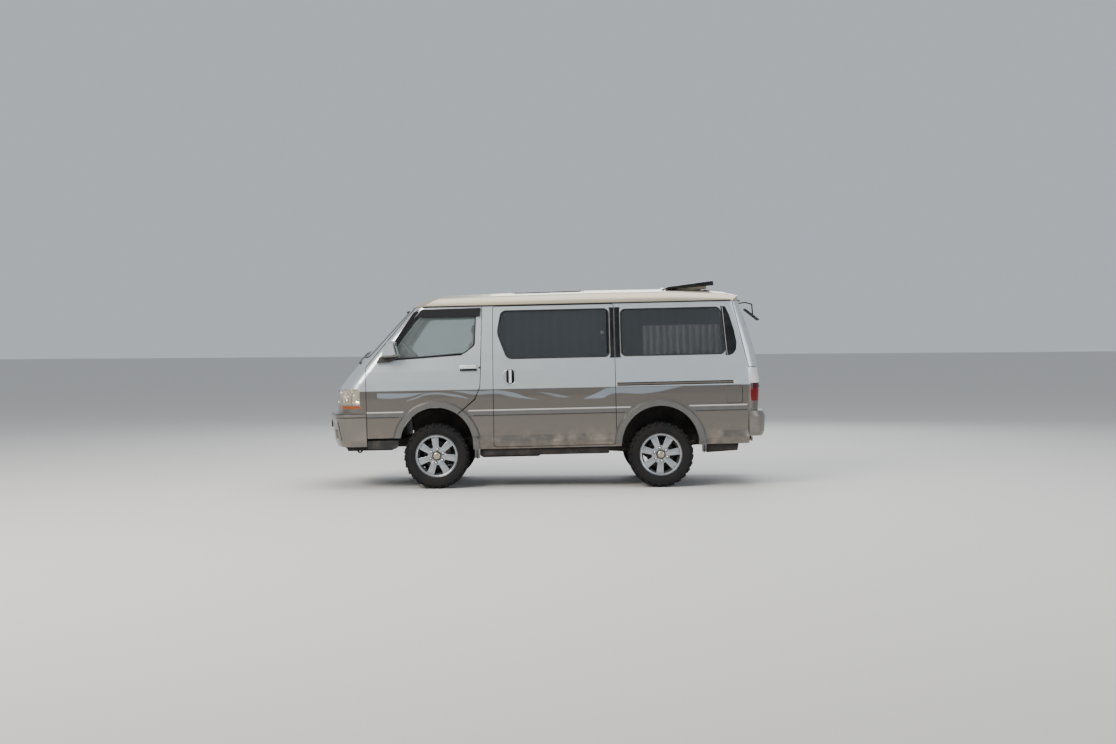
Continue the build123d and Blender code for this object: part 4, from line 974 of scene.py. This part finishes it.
def make_wheels():
    """The parts of each wheel, turned with their outer side out and set on its axle."""
    for name, x, side, turn in WHEELS:
        body = f"wheel_{name}"
        place = Matrix.Translation((x, side * TRACK_Y, TYRE_R))
        spin = turned("Y", 90) @ turned("Y", -turn)
        for kind, shape, finish, slot in (
            ("tread", tyre_shape(), "tyre", "tyre_rubber"),
            ("spoked_rim", rim_shape(), "alloy", "alloy"),
            ("wheel_nuts", fasteners_shape(), "bright", "alloy"),
            ("nut_shade_wells", shade_wells_shape(), "black_plastic", "alloy"),
            ("centre_cap", lathe(CAP_PROFILE, 40, closed=False), "cap", "alloy"),
            ("brake_disc", lathe(BRAKE_PROFILE, 56), "iron", "black_iron"),
        ):
            bmesh.ops.transform(shape, matrix=spin, verts=shape.verts)
            if side > 0:
                flipped(shape)
            bmesh.ops.transform(shape, matrix=place, verts=shape.verts)
            made = piece(f"{kind}_{name}", shape, finish, body, level=False)
            if kind == "tread":
                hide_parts(f"tyre_{name}")
            if kind == "spoked_rim":
                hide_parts(f"rim_{name}")


# Black panel behind the rear window, in side view, and the fittings of the side windows
REAR_PANEL = [
    (1.8815, 1.338), (1.842, 1.852), (1.892, 1.846), (1.930, 1.760), (1.975, 1.600), (1.998, 1.470),
    (1.990, 1.395), (1.960, 1.352), (1.925, 1.338),
]
KNOBS = [(-0.405, 1.805), (-0.425, 1.43), (0.655, 1.375), (0.825, 1.805), (0.825, 1.40), (1.80, 1.60)]
KNOB_PROFILE = [(0.0, -0.005), (0.007, -0.0045), (0.009, -0.001), (0.009, 0.004), (0.0, 0.004)]
LATCH_PROFILE = [(0.0, -0.012), (0.010, -0.011), (0.019, -0.006), (0.021, 0.0), (0.021, 0.004), (0.0, 0.004)]


def make_window_trim():
    """Rubber round each side window, black panels beside them, and their small fittings."""
    for name, outline in (("seal_middle", MIDDLE_WINDOW), ("seal_rear", REAR_WINDOW)):
        piece(name, side_bead(outline, 0.05, 0.0065, -0.003), "rubber", "chassis", both=True)
    blacked = bmesh.new()
    for x0, x1 in ((0.680, 0.7285), (0.7375, 0.796)):
        drop_in(blacked, skin_patch([(x0, 1.338), (x0, 1.862), (x1, 1.862), (x1, 1.338)], 0.0012))
    drop_in(blacked, skin_patch(REAR_PANEL, 0.0012))
    piece("black_panels", blacked, "gloss_black", both=True)
    edging = side_bead([(1.8965, 1.345), (1.8605, 1.846)], 0, 0.0022, 0.0035, closed=False)
    for x in (0.7925, 0.684):
        drop_in(edging, side_bead([(x, 1.350), (x, 1.846)], 0, 0.0018, 0.0030, closed=False))
    piece("window_edging", edging, "pale_trim", "chassis", both=True)
    fittings = bmesh.new()
    for x, z in KNOBS:
        stud(fittings, KNOB_PROFILE, 14, Matrix.Translation((x, side_y(z, -0.0085), z)))
    stud(fittings, LATCH_PROFILE, 24, Matrix.Translation((0.610, side_y(1.60, -0.009), 1.60)))
    piece("window_fittings", fittings, "dark_metal", both=True)


# Outlines on the front doors, in side view
SILL_LINE = [(-1.735, 1.338), (-1.700, 1.352), (-0.860, 1.398), (-0.842, 1.412), (-1.650, 1.372)]
PILLAR_VISOR = [
    (-1.640, 1.430), (-1.343, 1.858), (-1.300, 1.866), (-1.262, 1.806), (-1.330, 1.770), (-1.560, 1.440),
]
MIRROR_GLASS = [(-1.499, 1.413), (-1.532, 1.538), (-1.5275, 1.5395), (-1.494, 1.4145)]
MIRROR_BASE = [(-1.735, 1.340), (-1.700, 1.400), (-1.560, 1.404), (-1.530, 1.372), (-1.600, 1.345)]
LOCK_PROFILE = [(0.0, -0.004), (0.010, -0.0035), (0.012, 0.0), (0.012, 0.004), (0.0, 0.004)]


def make_door_trim():
    """Window rubber, rain visor along the pillar, mirror glass, lock and handle of each front door; the
    grip's paler silver is a painted highlight and the black plate under it a painted shadow.
    """
    for side, name in ((-1, "left"), (1, "right")):
        lock = bmesh.new()
        stud(lock, LOCK_PROFILE, 20, Matrix.Translation((-0.672, side_y(1.268, 0.002), 1.268)))
        # Painted shadow: a gloss black plate under the grip.
        grip_shadow = block((-0.876, -0.8530, 1.2350), (-0.700, -0.8420, 1.2570))
        grip = block((-0.880, -0.8580, 1.2585), (-0.712, -0.8400, 1.2940), 0.007, 3)
        for kind, shape, finish, slot in (
            ("door_seal", side_bead(DOOR_WINDOW, 0.022, 0.0075, -0.003), "rubber", "flap_rubber"),
            ("window_sill", skin_patch(SILL_LINE, 0.004, 0.005), "gloss_black", "black_plastic"),
            ("pillar_visor", skin_patch(PILLAR_VISOR, 0.021, 0.003, 0.012), "smoked", "dark_glass"),
            ("mirror_glass", prism(MIRROR_GLASS, -0.873, -0.985), "mirror", "black_plastic"),
            ("door_lock", lock, "dark_metal", "black_plastic"),
            ("door_grip_shadow", grip_shadow, "gloss_black", "black_plastic"),
            ("door_grip", grip, "highlit_lacquer", "body_paint"),
            ("mirror_base", prism(MIRROR_BASE, -0.818, -0.872, 0.004), "black_plastic", "black_plastic"),
        ):
            if side > 0:
                flipped(shape)
            piece(f"{kind}_{name}", shape, finish, f"front_door_{name}")


def end_patch(outline, surface, proud, thick, cuts=12):
    """A thin plate with an outline in (y, z) on the bowed nose or tail."""
    bm = bmesh.new()
    bm.faces.new([bm.verts.new((0, y, z)) for y, z in outline])
    reach = max(abs(y) for y, _ in outline)
    stations = [((0, -reach + 2 * reach * i / cuts, 0), (0, 1, 0)) for i in range(1, cuts)]
    stations += [((0, 0, row[0]), (0, 0, 1)) for row in END_ROWS]
    for spot, normal in stations:
        bmesh.ops.bisect_plane(bm, geom=everything(bm), plane_co=spot, plane_no=normal)
    pushed = bmesh.ops.extrude_face_region(bm, geom=bm.faces[:])["geom"]
    front = {vert for vert in pushed if isinstance(vert, bmesh.types.BMVert)}
    for vert in bm.verts:
        vert.co.x = surface(vert.co.y, vert.co.z, proud if vert in front else proud - thick)
    return bm


SPINDLE_PROFILE = [(0.0, -0.020), (0.012, -0.018), (0.014, -0.004), (0.014, 0.012), (0.0, 0.012)]
REAR_SPINDLE_PROFILE = [(0.0, -0.024), (0.014, -0.022), (0.018, -0.004), (0.018, 0.012), (0.0, 0.012)]
ARM_Z = 1.335
BLADE_Z = 1.462
REAR_WIPER_Z = 1.285


def make_screen_trim():
    """Rubber round the windscreen and tailgate glass, and the three wipers."""
    rubber = bead([on_nose(y, z, -0.004) for y, z in rounded(SCREEN, 0.07)], 0.009, True)
    piece("screen_seal", rubber, "rubber", "chassis")
    rubber = bead([on_tail(y, z, -0.004) for y, z in rounded(GATE_WINDOW, 0.06)], 0.008, True)
    piece("gate_seal", rubber, "rubber", "tailgate")
    wipers = bmesh.new()
    for root, tip in ((-0.46, 0.02), (0.14, 0.60)):
        place = Matrix.Translation(on_nose(root, ARM_Z))
        stud(wipers, SPINDLE_PROFILE, 18, place @ Matrix.Rotation(-2.3, 4, "Y") @ turned("X", 90))
        low, middle = root + 0.10 * (tip - root), (tip + root) / 2
        arm = ((root, ARM_Z), (low, ARM_Z + 0.020), (middle, BLADE_Z - 0.03), (tip, BLADE_Z))
        drop_in(wipers, bead([on_nose(y, z, 0.022) for y, z in arm], 0.0045))
        blade = ((tip - 0.30, BLADE_Z - 0.050), (tip - 0.1, BLADE_Z - 0.012), (tip + 0.05, BLADE_Z + 0.005))
        drop_in(wipers, bead([on_nose(y, z, 0.008) for y, z in blade], 0.0065))
    piece("front_wipers", wipers, "black_plastic")
    wiper = bmesh.new()
    stud(wiper, REAR_SPINDLE_PROFILE, 20, Matrix.Translation(on_tail(0, REAR_WIPER_Z)) @ turned("Z", 90))
    arm = ((0, REAR_WIPER_Z), (0.06, 1.300), (0.40, 1.362))
    drop_in(wiper, bead([on_tail(y, z, 0.018) for y, z in arm], 0.0045))
    blade = ((0.20, 1.345), (0.38, 1.372), (0.50, 1.392))
    drop_in(wiper, bead([on_tail(y, z, 0.008) for y, z in blade], 0.0065))
    piece("rear_wiper", wiper, "black_plastic", "tailgate")


BOWL_PROFILE = [
    (0.012, 0.0), (0.030, -0.006), (0.048, -0.018), (0.060, -0.038), (0.062, -0.038), (0.050, -0.015),
    (0.030, -0.002), (0.012, 0.004),
]
HEAD_BULB = [(0.0, -0.034), (0.006, -0.032), (0.008, -0.024), (0.007, -0.010), (0.010, 0.004), (0.0, 0.004)]
TAIL_BULB = [(0.0, -0.030), (0.008, -0.027), (0.010, -0.018), (0.008, -0.004), (0.011, 0.006), (0.0, 0.006)]


def lamp_walls(kind, node, way):
    """The lined housing of a pair of lamps and the lens over it, which is given back."""
    shape = outer_skin(node, way, 0.003)
    lens = piece(f"{kind}_lenses", shape, f"{kind}_lens", "chassis", level=False, outward=False)
    shape = outer_skin(node, way, 0.0015, outside=False)
    piece(f"{kind}_housings", shape, "reflector", "chassis", level=False, outward=False)
    return lens


def make_lamps():
    """Clear lenses over lined housings, with reflector bowls and bulbs behind them."""
    lens = lamp_walls("head", "headlamps", -1)
    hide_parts("headlamps")
    bowls = bmesh.new()
    for x, y in ((-2.112, -0.545), (-2.050, -0.690)):
        place = Matrix.Translation((x, y, 0.990)) @ turned("Z", -90)
        drop_in(bowls, lathe(BOWL_PROFILE, 36), place)
        stud(bowls, HEAD_BULB, 20, place)
    piece("head_bowls", bowls, "reflector", "chassis", both=True)
    tail = lamp_walls("tail", "tail_lamps", 1)
    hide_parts("tail_lamps")
    bulbs = bmesh.new()
    for z in (0.91, 1.00, 1.12):
        stud(bulbs, TAIL_BULB, 20, Matrix.Translation((2.195, -0.735, z)) @ turned("Z", 90))
    piece("tail_bulbs", bulbs, "bulb_glass", "chassis", both=True)


FOG_PROFILE = [(0.0, -0.004), (0.020, -0.003), (0.034, 0.0), (0.036, 0.006), (0.0, 0.006)]


def grille_strip(half, z0, z1, proud, thick):
    """An upright strip across the nose."""
    return end_patch([(-half, z0), (half, z0), (half, z1), (-half, z1)], nose_x, proud, thick)


def make_front_and_rear():
    """Backing, strips and slats of the grille, fog lamps, blank plates, lamp bar and tailgate handle."""
    piece("grille_backing", grille_strip(0.446, 0.916, 1.064, -0.036, 0.002), "black_plastic")
    strip = grille_strip(0.440, 1.054, 1.064, 0.0, 0.004)
    drop_in(strip, grille_strip(0.440, 0.914, 0.922, 0.0, 0.004))
    piece("grille_strips", strip, "bright")
    slats = bmesh.new()
    for i in range(29):
        y = -0.42 + 0.03 * i
        low = (nose_x(y, 0.99, -0.030), y - 0.0015, 0.926)
        high = (nose_x(y, 0.99, -0.012), y + 0.0015, 1.054)
        drop_in(slats, block(low, high, 0.0007, 1))
    piece("grille_slats", slats, "black_plastic")
    fog = bmesh.new()
    stud(fog, FOG_PROFILE, 32, Matrix.Translation((-2.165, -0.640, 0.605)) @ turned("Z", -78))
    piece("fog_lamps", fog, "head_lens", "chassis", both=True)
    for name, body, low, high in (
        ("front_plate", "chassis", (-2.318, -0.180, 0.655), (-2.311, 0.180, 0.765)),
        ("rear_plate", "tailgate", (2.262, -0.165, 0.862), (2.274, 0.165, 0.972)),
    ):
        piece(name, block(low, high, 0.003), "plate", body)
    lamp_bar = block((2.262, -0.230, 0.985), (2.300, 0.230, 1.012), 0.006)
    piece("plate_lamp_bar", lamp_bar, "gloss_black", "tailgate")
    handle = block((2.266, -0.075, 1.060), (2.290, 0.075, 1.100), 0.008)
    piece("gate_handle", handle, "black_plastic", "tailgate")


# Crown of the roof along its middle: x, height
CROWN_ROWS = [
    (-1.5, 2.036), (-0.349, 2.058), (0.5, 2.067), (1.322, 2.064), (1.7, 2.043), (1.901, 2.022), (2.09, 1.965),
]
SUNROOF = [(-0.300, -0.430), (0.400, -0.430), (0.400, 0.430), (-0.300, 0.430)]


def crown_z(x, y):
    """Height of the roof's crown."""
    top = between(CROWN_ROWS, x, 1)
    return top - 0.29 * (top - GUTTER_Z) * (y / 0.63) ** 2


def make_roof():
    """Sunroof rubber and the clips round it."""
    rubber = bead([(x, y, crown_z(x, y) + 0.002) for x, y in rounded(SUNROOF, 0.04)], 0.006, True)
    piece("sunroof_seal", rubber, "rubber", "chassis")
    clips = bmesh.new()
    for x, y in ((-0.325, -0.36), (-0.205, -0.455), (0.425, -0.36), (-0.325, 0.36), (0.425, 0.36)):
        z = crown_z(x, y)
        drop_in(clips, block((x - 0.014, y - 0.02, z - 0.002), (x + 0.014, y + 0.02, z + 0.005), 0.002))
    piece("sunroof_clips", clips, "pale_trim")


# Middle of the roof hatch's hinge, and half the lid's width
HATCH_HINGE = Vector((1.306, 0, 2.058))
HATCH_HALF = 0.527


def lid_shape(low, high, bevel, clear, crowned):
    """A block that clears the roof's crown below, and follows it above where it is crowned, swung up."""
    bm = block(low, high, bevel, 4)
    subdivide_long(bm, 0.06, 11)
    for vert in bm.verts:
        x, y, z = vert.co
        if crowned or z < (low[2] + high[2]) / 2:
            rim = crown_z(x, y) + clear
            top = high[2] - 0.008 * (y / HATCH_HALF) ** 2 - 0.05 * max(0.0, 1.36 - x)
            vert.co.z = rim + (z - low[2]) / (high[2] - low[2]) * (top - rim)
    hinge = Matrix.Translation(HATCH_HINGE)
    swing = hinge @ Matrix.Rotation(-HATCH_TILT, 4, "Y") @ hinge.inverted()
    bmesh.ops.transform(bm, matrix=swing, verts=bm.verts)
    return bm


def make_hatch():
    """The raised roof hatch: smoked bubble, pale liner and pins, with a cowl before it."""
    bubble = lid_shape((1.296, -HATCH_HALF, 2.000), (1.802, HATCH_HALF, 2.078), 0.018, 0.009, True)
    made = piece("hatch_bubble", bubble, "bubble", "hatch_lid", smooth=50)
    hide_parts("hatch_lid")
    liner = lid_shape((1.412, -0.450, 1.985), (1.728, 0.450, 2.050), 0.012, -0.030, False)
    piece("hatch_liner", liner, "liner", "hatch_lid", smooth=50)
    pins = bmesh.new()
    for y in (-0.38, 0.38):
        pin = [(0.0, -0.020), (0.0045, -0.020), (0.0045, 0.020), (0.0, 0.020)]
        stud(pins, pin, 16, Matrix.Translation((HATCH_HINGE.x, y, HATCH_HINGE.z)))
    piece("hatch_pins", pins, "dark_metal", "hatch_lid")
    cowl = block((1.246, -0.500, 2.052), (1.282, 0.500, 2.083), 0.008, 3)
    subdivide_long(cowl, 0.2, 9)
    for vert in cowl.verts:
        x, y, z = vert.co
        vert.co.z += crown_z(x, y) - crown_z(x, 0) - 0.45 * (1.282 - x) * (z > 2.07)
    piece("hatch_cowl", cowl, "gloss_black")


def stuff(made, pressure, reach, voxel):
    """Blows a pad up under cloth simulation, no point moving further than reach, and smooths it."""
    remesh = made.modifiers.new("remesh", "REMESH")
    remesh.mode = "VOXEL"
    remesh.voxel_size = voxel
    bake(made)
    flat = [vert.co.copy() for vert in made.data.vertices]
    cloth = made.modifiers.new("cloth", "CLOTH")
    cloth.settings.use_pressure = True
    cloth.settings.uniform_pressure_force = pressure
    cloth.settings.effector_weights.gravity = 0
    cloth.settings.tension_stiffness = 12
    for step in range(1, 16):
        bpy.context.scene.frame_set(step)
    bake(made)
    bpy.context.scene.frame_set(1)
    for vert, start in zip(made.data.vertices, flat):
        move = vert.co - start
        if move.length > reach:
            vert.co = start + move * (reach / move.length)
    made.data.polygons.foreach_set("use_smooth", [True] * len(made.data.polygons))


def bake(made):
    """Applies a piece's modifiers to its mesh."""
    graph = bpy.context.evaluated_depsgraph_get()
    mesh = bpy.data.meshes.new_from_object(made.evaluated_get(graph))
    made.modifiers.clear()
    old, made.data = made.data, mesh
    bpy.data.meshes.remove(old)


# Seat pads: name, outline in side view, inner and outer station, how far they swell
SEAT_PADS = [
    ("seat_cushion", [(-1.292, 1.000), (-1.280, 1.060), (-0.866, 1.038), (-0.858, 0.968), (-1.258, 0.968)],
     -0.160, -0.630, 0.012),
    ("seat_back", [(-0.872, 1.056), (-0.772, 1.550), (-0.712, 1.563), (-0.698, 1.498), (-0.780, 1.040)],
     -0.175, -0.615, 0.011),
    ("headrest", [(-0.771, 1.608), (-0.760, 1.714), (-0.702, 1.716), (-0.698, 1.612)], -0.275, -0.515, 0.008),
]


def make_seats():
    """Two front seats: stuffed cushion, back and headrest on posts, over a metal plinth."""
    for side, name in ((-1, "left"), (1, "right")):
        for kind, outline, y0, y1, reach in SEAT_PADS:
            pad = prism(outline, y0, y1, 0.014, 0.012)
            subdivide_long(pad, 0.1, 4)
            if side > 0:
                flipped(pad)
            made = piece(f"{kind}_{name}", pad, "seat", "chassis")
            if kind == "seat_cushion":
                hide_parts("front_seats")
            stuff(made, 4.0, reach, 0.013)
    plinth = block((-1.240, -0.600, 0.901), (-0.820, -0.180, 0.962), 0.006)
    for y in (-0.345, -0.445):
        drop_in(plinth, bead([(-0.742, y, 1.545), (-0.730, y, 1.640)], 0.006))
    drop_in(plinth, block((-1.250, -0.610, 0.901), (-0.810, -0.585, 0.915), 0.003))
    piece("seat_plinths", plinth, "black_plastic", both=True)
    belt = bead([(-0.735, -0.685, 1.70), (-0.74, -0.655, 1.35), (-0.80, -0.655, 1.02)], 0.006)
    piece("seat_belts", belt, "rubber", "chassis", both=True)


def make_bed():
    """Bed over the load floor: timber box and board, and a mattress in three stuffed lengths."""
    timber = block((-0.078, -0.688, 0.562), (0.300, 0.688, 0.905), 0.004)
    drop_in(timber, block((0.300, -0.688, 0.908), (2.018, 0.688, 0.926), 0.003))
    for y in (-0.665, 0.665):
        drop_in(timber, block((1.880, y - 0.024, 0.562), (1.960, y + 0.024, 0.908), 0.003))
    piece("bed_box", timber, "timber", "chassis")
    for i, (x0, x1) in enumerate(((-0.070, 0.640), (0.660, 1.330), (1.350, 2.005))):
        pad = block((x0, -0.680, 0.929), (x1, 0.680, 0.954), 0.010)
        subdivide_long(pad, 0.2, 6)
        made = piece(f"mattress_{i + 1}", pad, "bed", "chassis")
        if i == 0:
            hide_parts("bed")
        stuff(made, 3.0, 0.007, 0.011)


def make_curtains():
    """Pleated half curtain in the rear left window, a mesh shade in the middle left window, and dark sheets
    in the right-hand windows that stand in for the shade inside the cabin.
    """
    pleats, x0, z0, z1 = 12, CURTAIN_X0, 1.362, 1.662
    x1 = x0 + pleats * CURTAIN_PITCH
    bm = bmesh.new()
    bmesh.ops.create_grid(bm, x_segments=pleats * 12, y_segments=14, size=0.5)
    for vert in bm.verts:
        u, v = vert.co.x + 0.5, vert.co.y + 0.5
        x, z = x0 + (x1 - x0) * u, z0 + (z1 - z0) * v
        fold = 0.5 + 0.5 * math.sin(math.tau * (pleats * u + 0.06 * math.sin(7 * v + 9 * u)))
        depth = 0.0525 + (0.026 - 0.012 * v) * fold
        vert.co = (x + 0.004 * math.sin(math.tau * 2 * pleats * u), side_y(z, -depth), z)
    curtain = piece("curtain_rear", bm, "curtain", "chassis")
    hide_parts("curtains")
    rail = bead([(1.010, side_y(z1, -0.062), z1 + 0.001), (1.870, side_y(z1, -0.062), z1 + 0.001)], 0.0028)
    piece("curtain_wire", rail, "bright")
    # The right-hand sheets are dark stand-ins for the shade inside the cabin; the left one is the real mesh
    # shade.
    for name, x0, length, side in (
        ("mesh_shade_left", -0.432, 1.126, -1),
        ("shadow_sheet_right", -0.432, 1.126, 1),
        ("shadow_sheet_rear", 0.790, 1.080, 1),
    ):
        bm = bmesh.new()
        bmesh.ops.create_grid(bm, x_segments=60, y_segments=24, size=0.5)
        for vert in bm.verts:
            u, v = vert.co.x + 0.5, vert.co.y + 0.5
            x, z = x0 + length * u, 1.338 + 0.526 * v
            sag = 0.002 * math.sin(math.pi * 6 * u) * math.sin(math.pi * v)
            vert.co = (x, -side * side_y(z, -0.0535 - abs(sag)), z)
        shade = piece(name, bm, "mesh", "chassis")


def make_dash():
    """Instrument hood and its face, vents and radio panel on the dashboard."""
    hood = block((-1.700, 0.235, 1.285), (-1.575, 0.545, 1.372), 0.02, 3)
    piece("instrument_hood", hood, "dash", "chassis")
    face = block((-1.577, 0.255, 1.292), (-1.571, 0.525, 1.352), 0.002)
    piece("instrument_face", face, "gloss_black", "chassis")
    centre = block((-1.556, -0.110, 1.130), (-1.540, 0.110, 1.270), 0.004)
    for y in (-0.59, -0.16, 0.16, 0.64):
        drop_in(centre, block((-1.570, y - 0.035, 1.235), (-1.548, y + 0.035, 1.275), 0.004))
    piece("dash_fittings", centre, "black_plastic", "chassis")


# Outlines in side view: the sliding door's pocket and its rim, guards behind the wheels and under the tail;
# the tail guard also stands in for shade under the body
POCKET = [(-0.398, 1.092), (-0.398, 1.240), (-0.314, 1.240), (-0.314, 1.092)]
POCKET_RIM = [(-0.424, 1.086), (-0.424, 1.246), (-0.288, 1.246), (-0.288, 1.086)]
FRONT_GUARD = [
    (-0.788, 0.640), (-0.752, 0.520), (-0.738, 0.395), (-0.742, 0.330), (-0.690, 0.326), (-0.690, 0.500),
    (-0.722, 0.560), (-0.766, 0.640),
]
REAR_GUARD = [(1.565, 0.640), (1.612, 0.500), (1.618, 0.345), (1.662, 0.345), (1.664, 0.500), (1.590, 0.660)]
TAIL_SHADE_GUARD = [(1.655, 0.425), (1.665, 0.330), (1.990, 0.346), (2.005, 0.425)]


def make_handles_and_guards():
    """Grip, pocket and rail stop of the sliding door, bumper seams, and splash guards behind the wheels; the
    pocket is lined black as painted shade, the grip paler as a painted highlight.
    """
    # Painted shade: the pocket's recess is lined gloss black.
    piece("slide_pocket", prism(POCKET, -0.8295, -0.8265, corner=0.036), "gloss_black")
    grip = block((-0.370, -0.8500, 1.098), (-0.342, -0.8300, 1.236), 0.007, 3)
    piece("slide_grip", grip, "highlit_lacquer", "chassis")
    edge = [(x, side_y(z, 0.001), z) for x, z in rounded(POCKET_RIM, 0.062, 0.03)]
    piece("slide_pocket_rim", bead(edge, 0.004, True), "silver", "chassis")
    stop = block((1.955, -0.8470, 1.046), (1.990, -0.8390, 1.078))
    piece("rail_stop", stop, "pale_trim", "chassis")
    seam = bead([(-2.163, -0.757, 0.738), (-2.142, -0.768, 0.636), (-2.121, -0.777, 0.538)], 0.0045)
    piece("bumper_seams", seam, "rubber", "chassis", both=True)
    guards = skin_patch(FRONT_GUARD, 0.024, 0.006)
    drop_in(guards, skin_patch(REAR_GUARD, 0.024, 0.006))
    piece("splash_guards", guards, "trim", "chassis", both=True)


def make_underside():
    """Rubber ridges on the side steps, and black guards under the sills that also stand in for the shade
    under the body.
    """
    ridges = bmesh.new()
    for i in range(7):
        x = -1.815 + 0.042 * i
        drop_in(ridges, block((x - 0.005, -0.832, 0.529), (x + 0.005, -0.700, 0.533), 0.0015, 1))
    piece("step_ridges", ridges, "rubber", both=True)
    # Partly painted shade: these dark guards fill the shadow under the sills and tail.
    guards = block((-0.690, -0.786, 0.346), (0.655, -0.752, 0.425), 0.012)
    drop_in(guards, prism(TAIL_SHADE_GUARD, -0.560, -0.770, 0.008))
    piece("sill_shade_guards", guards, "chassis", "chassis", both=True)


def studio():
    """Pale floor and backdrop, soft lights and the photograph's camera."""
    bm = bmesh.new()
    bmesh.ops.create_grid(bm, x_segments=2, y_segments=2, size=400)
    mesh = bpy.data.meshes.new("floor")
    bm.to_mesh(mesh)
    floor = bpy.data.objects.new("floor", mesh)
    bpy.context.collection.objects.link(floor)
    floor.data.materials.append(Finish("studio_floor", (0.62, 0.61, 0.59), 0.9).material)
    world = bpy.data.worlds.new("studio")
    world.use_nodes = True
    sky = world.node_tree.nodes["Background"].inputs
    sky["Color"].default_value = (0.80, 0.85, 0.92, 1)
    sky["Strength"].default_value = 0.62
    bpy.context.scene.world = world
    for name, place, size, power, colour in (
        ("key", (-7, -10, 9), 6, 1900, (1.0, 0.95, 0.87)),
        ("top", (1, 0, 9), 9, 700, (1.0, 1.0, 1.0)),
        ("fill", (9, -9, 4), 7, 350, (0.90, 0.95, 1.0)),
        ("back", (2, 11, 7), 7, 500, (0.95, 0.97, 1.0)),
    ):
        light = bpy.data.lights.new(name, "AREA")
        light.size = size
        light.energy = power
        light.color = colour
        lamp = bpy.data.objects.new(name, light)
        bpy.context.collection.objects.link(lamp)
        aim = (Vector((0, 0, 1)) - Vector(place)).to_track_quat("-Z", "Y")
        lamp.matrix_world = Matrix.Translation(place) @ aim.to_matrix().to_4x4()
    lens = bpy.data.cameras.new("camera")
    lens.sensor_width = SENSOR
    lens.lens = FOCAL_PX / PHOTO_WIDTH * SENSOR
    camera = bpy.data.objects.new("camera", lens)
    bpy.context.collection.objects.link(camera)
    aim = Matrix.Rotation(math.radians(90) - CAMERA_PITCH, 4, "X") @ Matrix.Rotation(-CAMERA_ROLL, 4, "Z")
    camera.matrix_world = Matrix.Translation(CAMERA_PLACE) @ aim
    bpy.context.scene.camera = camera


paint_frame()
make_wheels()
make_window_trim()
make_door_trim()
make_screen_trim()
make_lamps()
make_front_and_rear()
make_roof()
make_hatch()
make_seats()
make_bed()
make_curtains()
make_dash()
make_handles_and_guards()
make_underside()
studio()
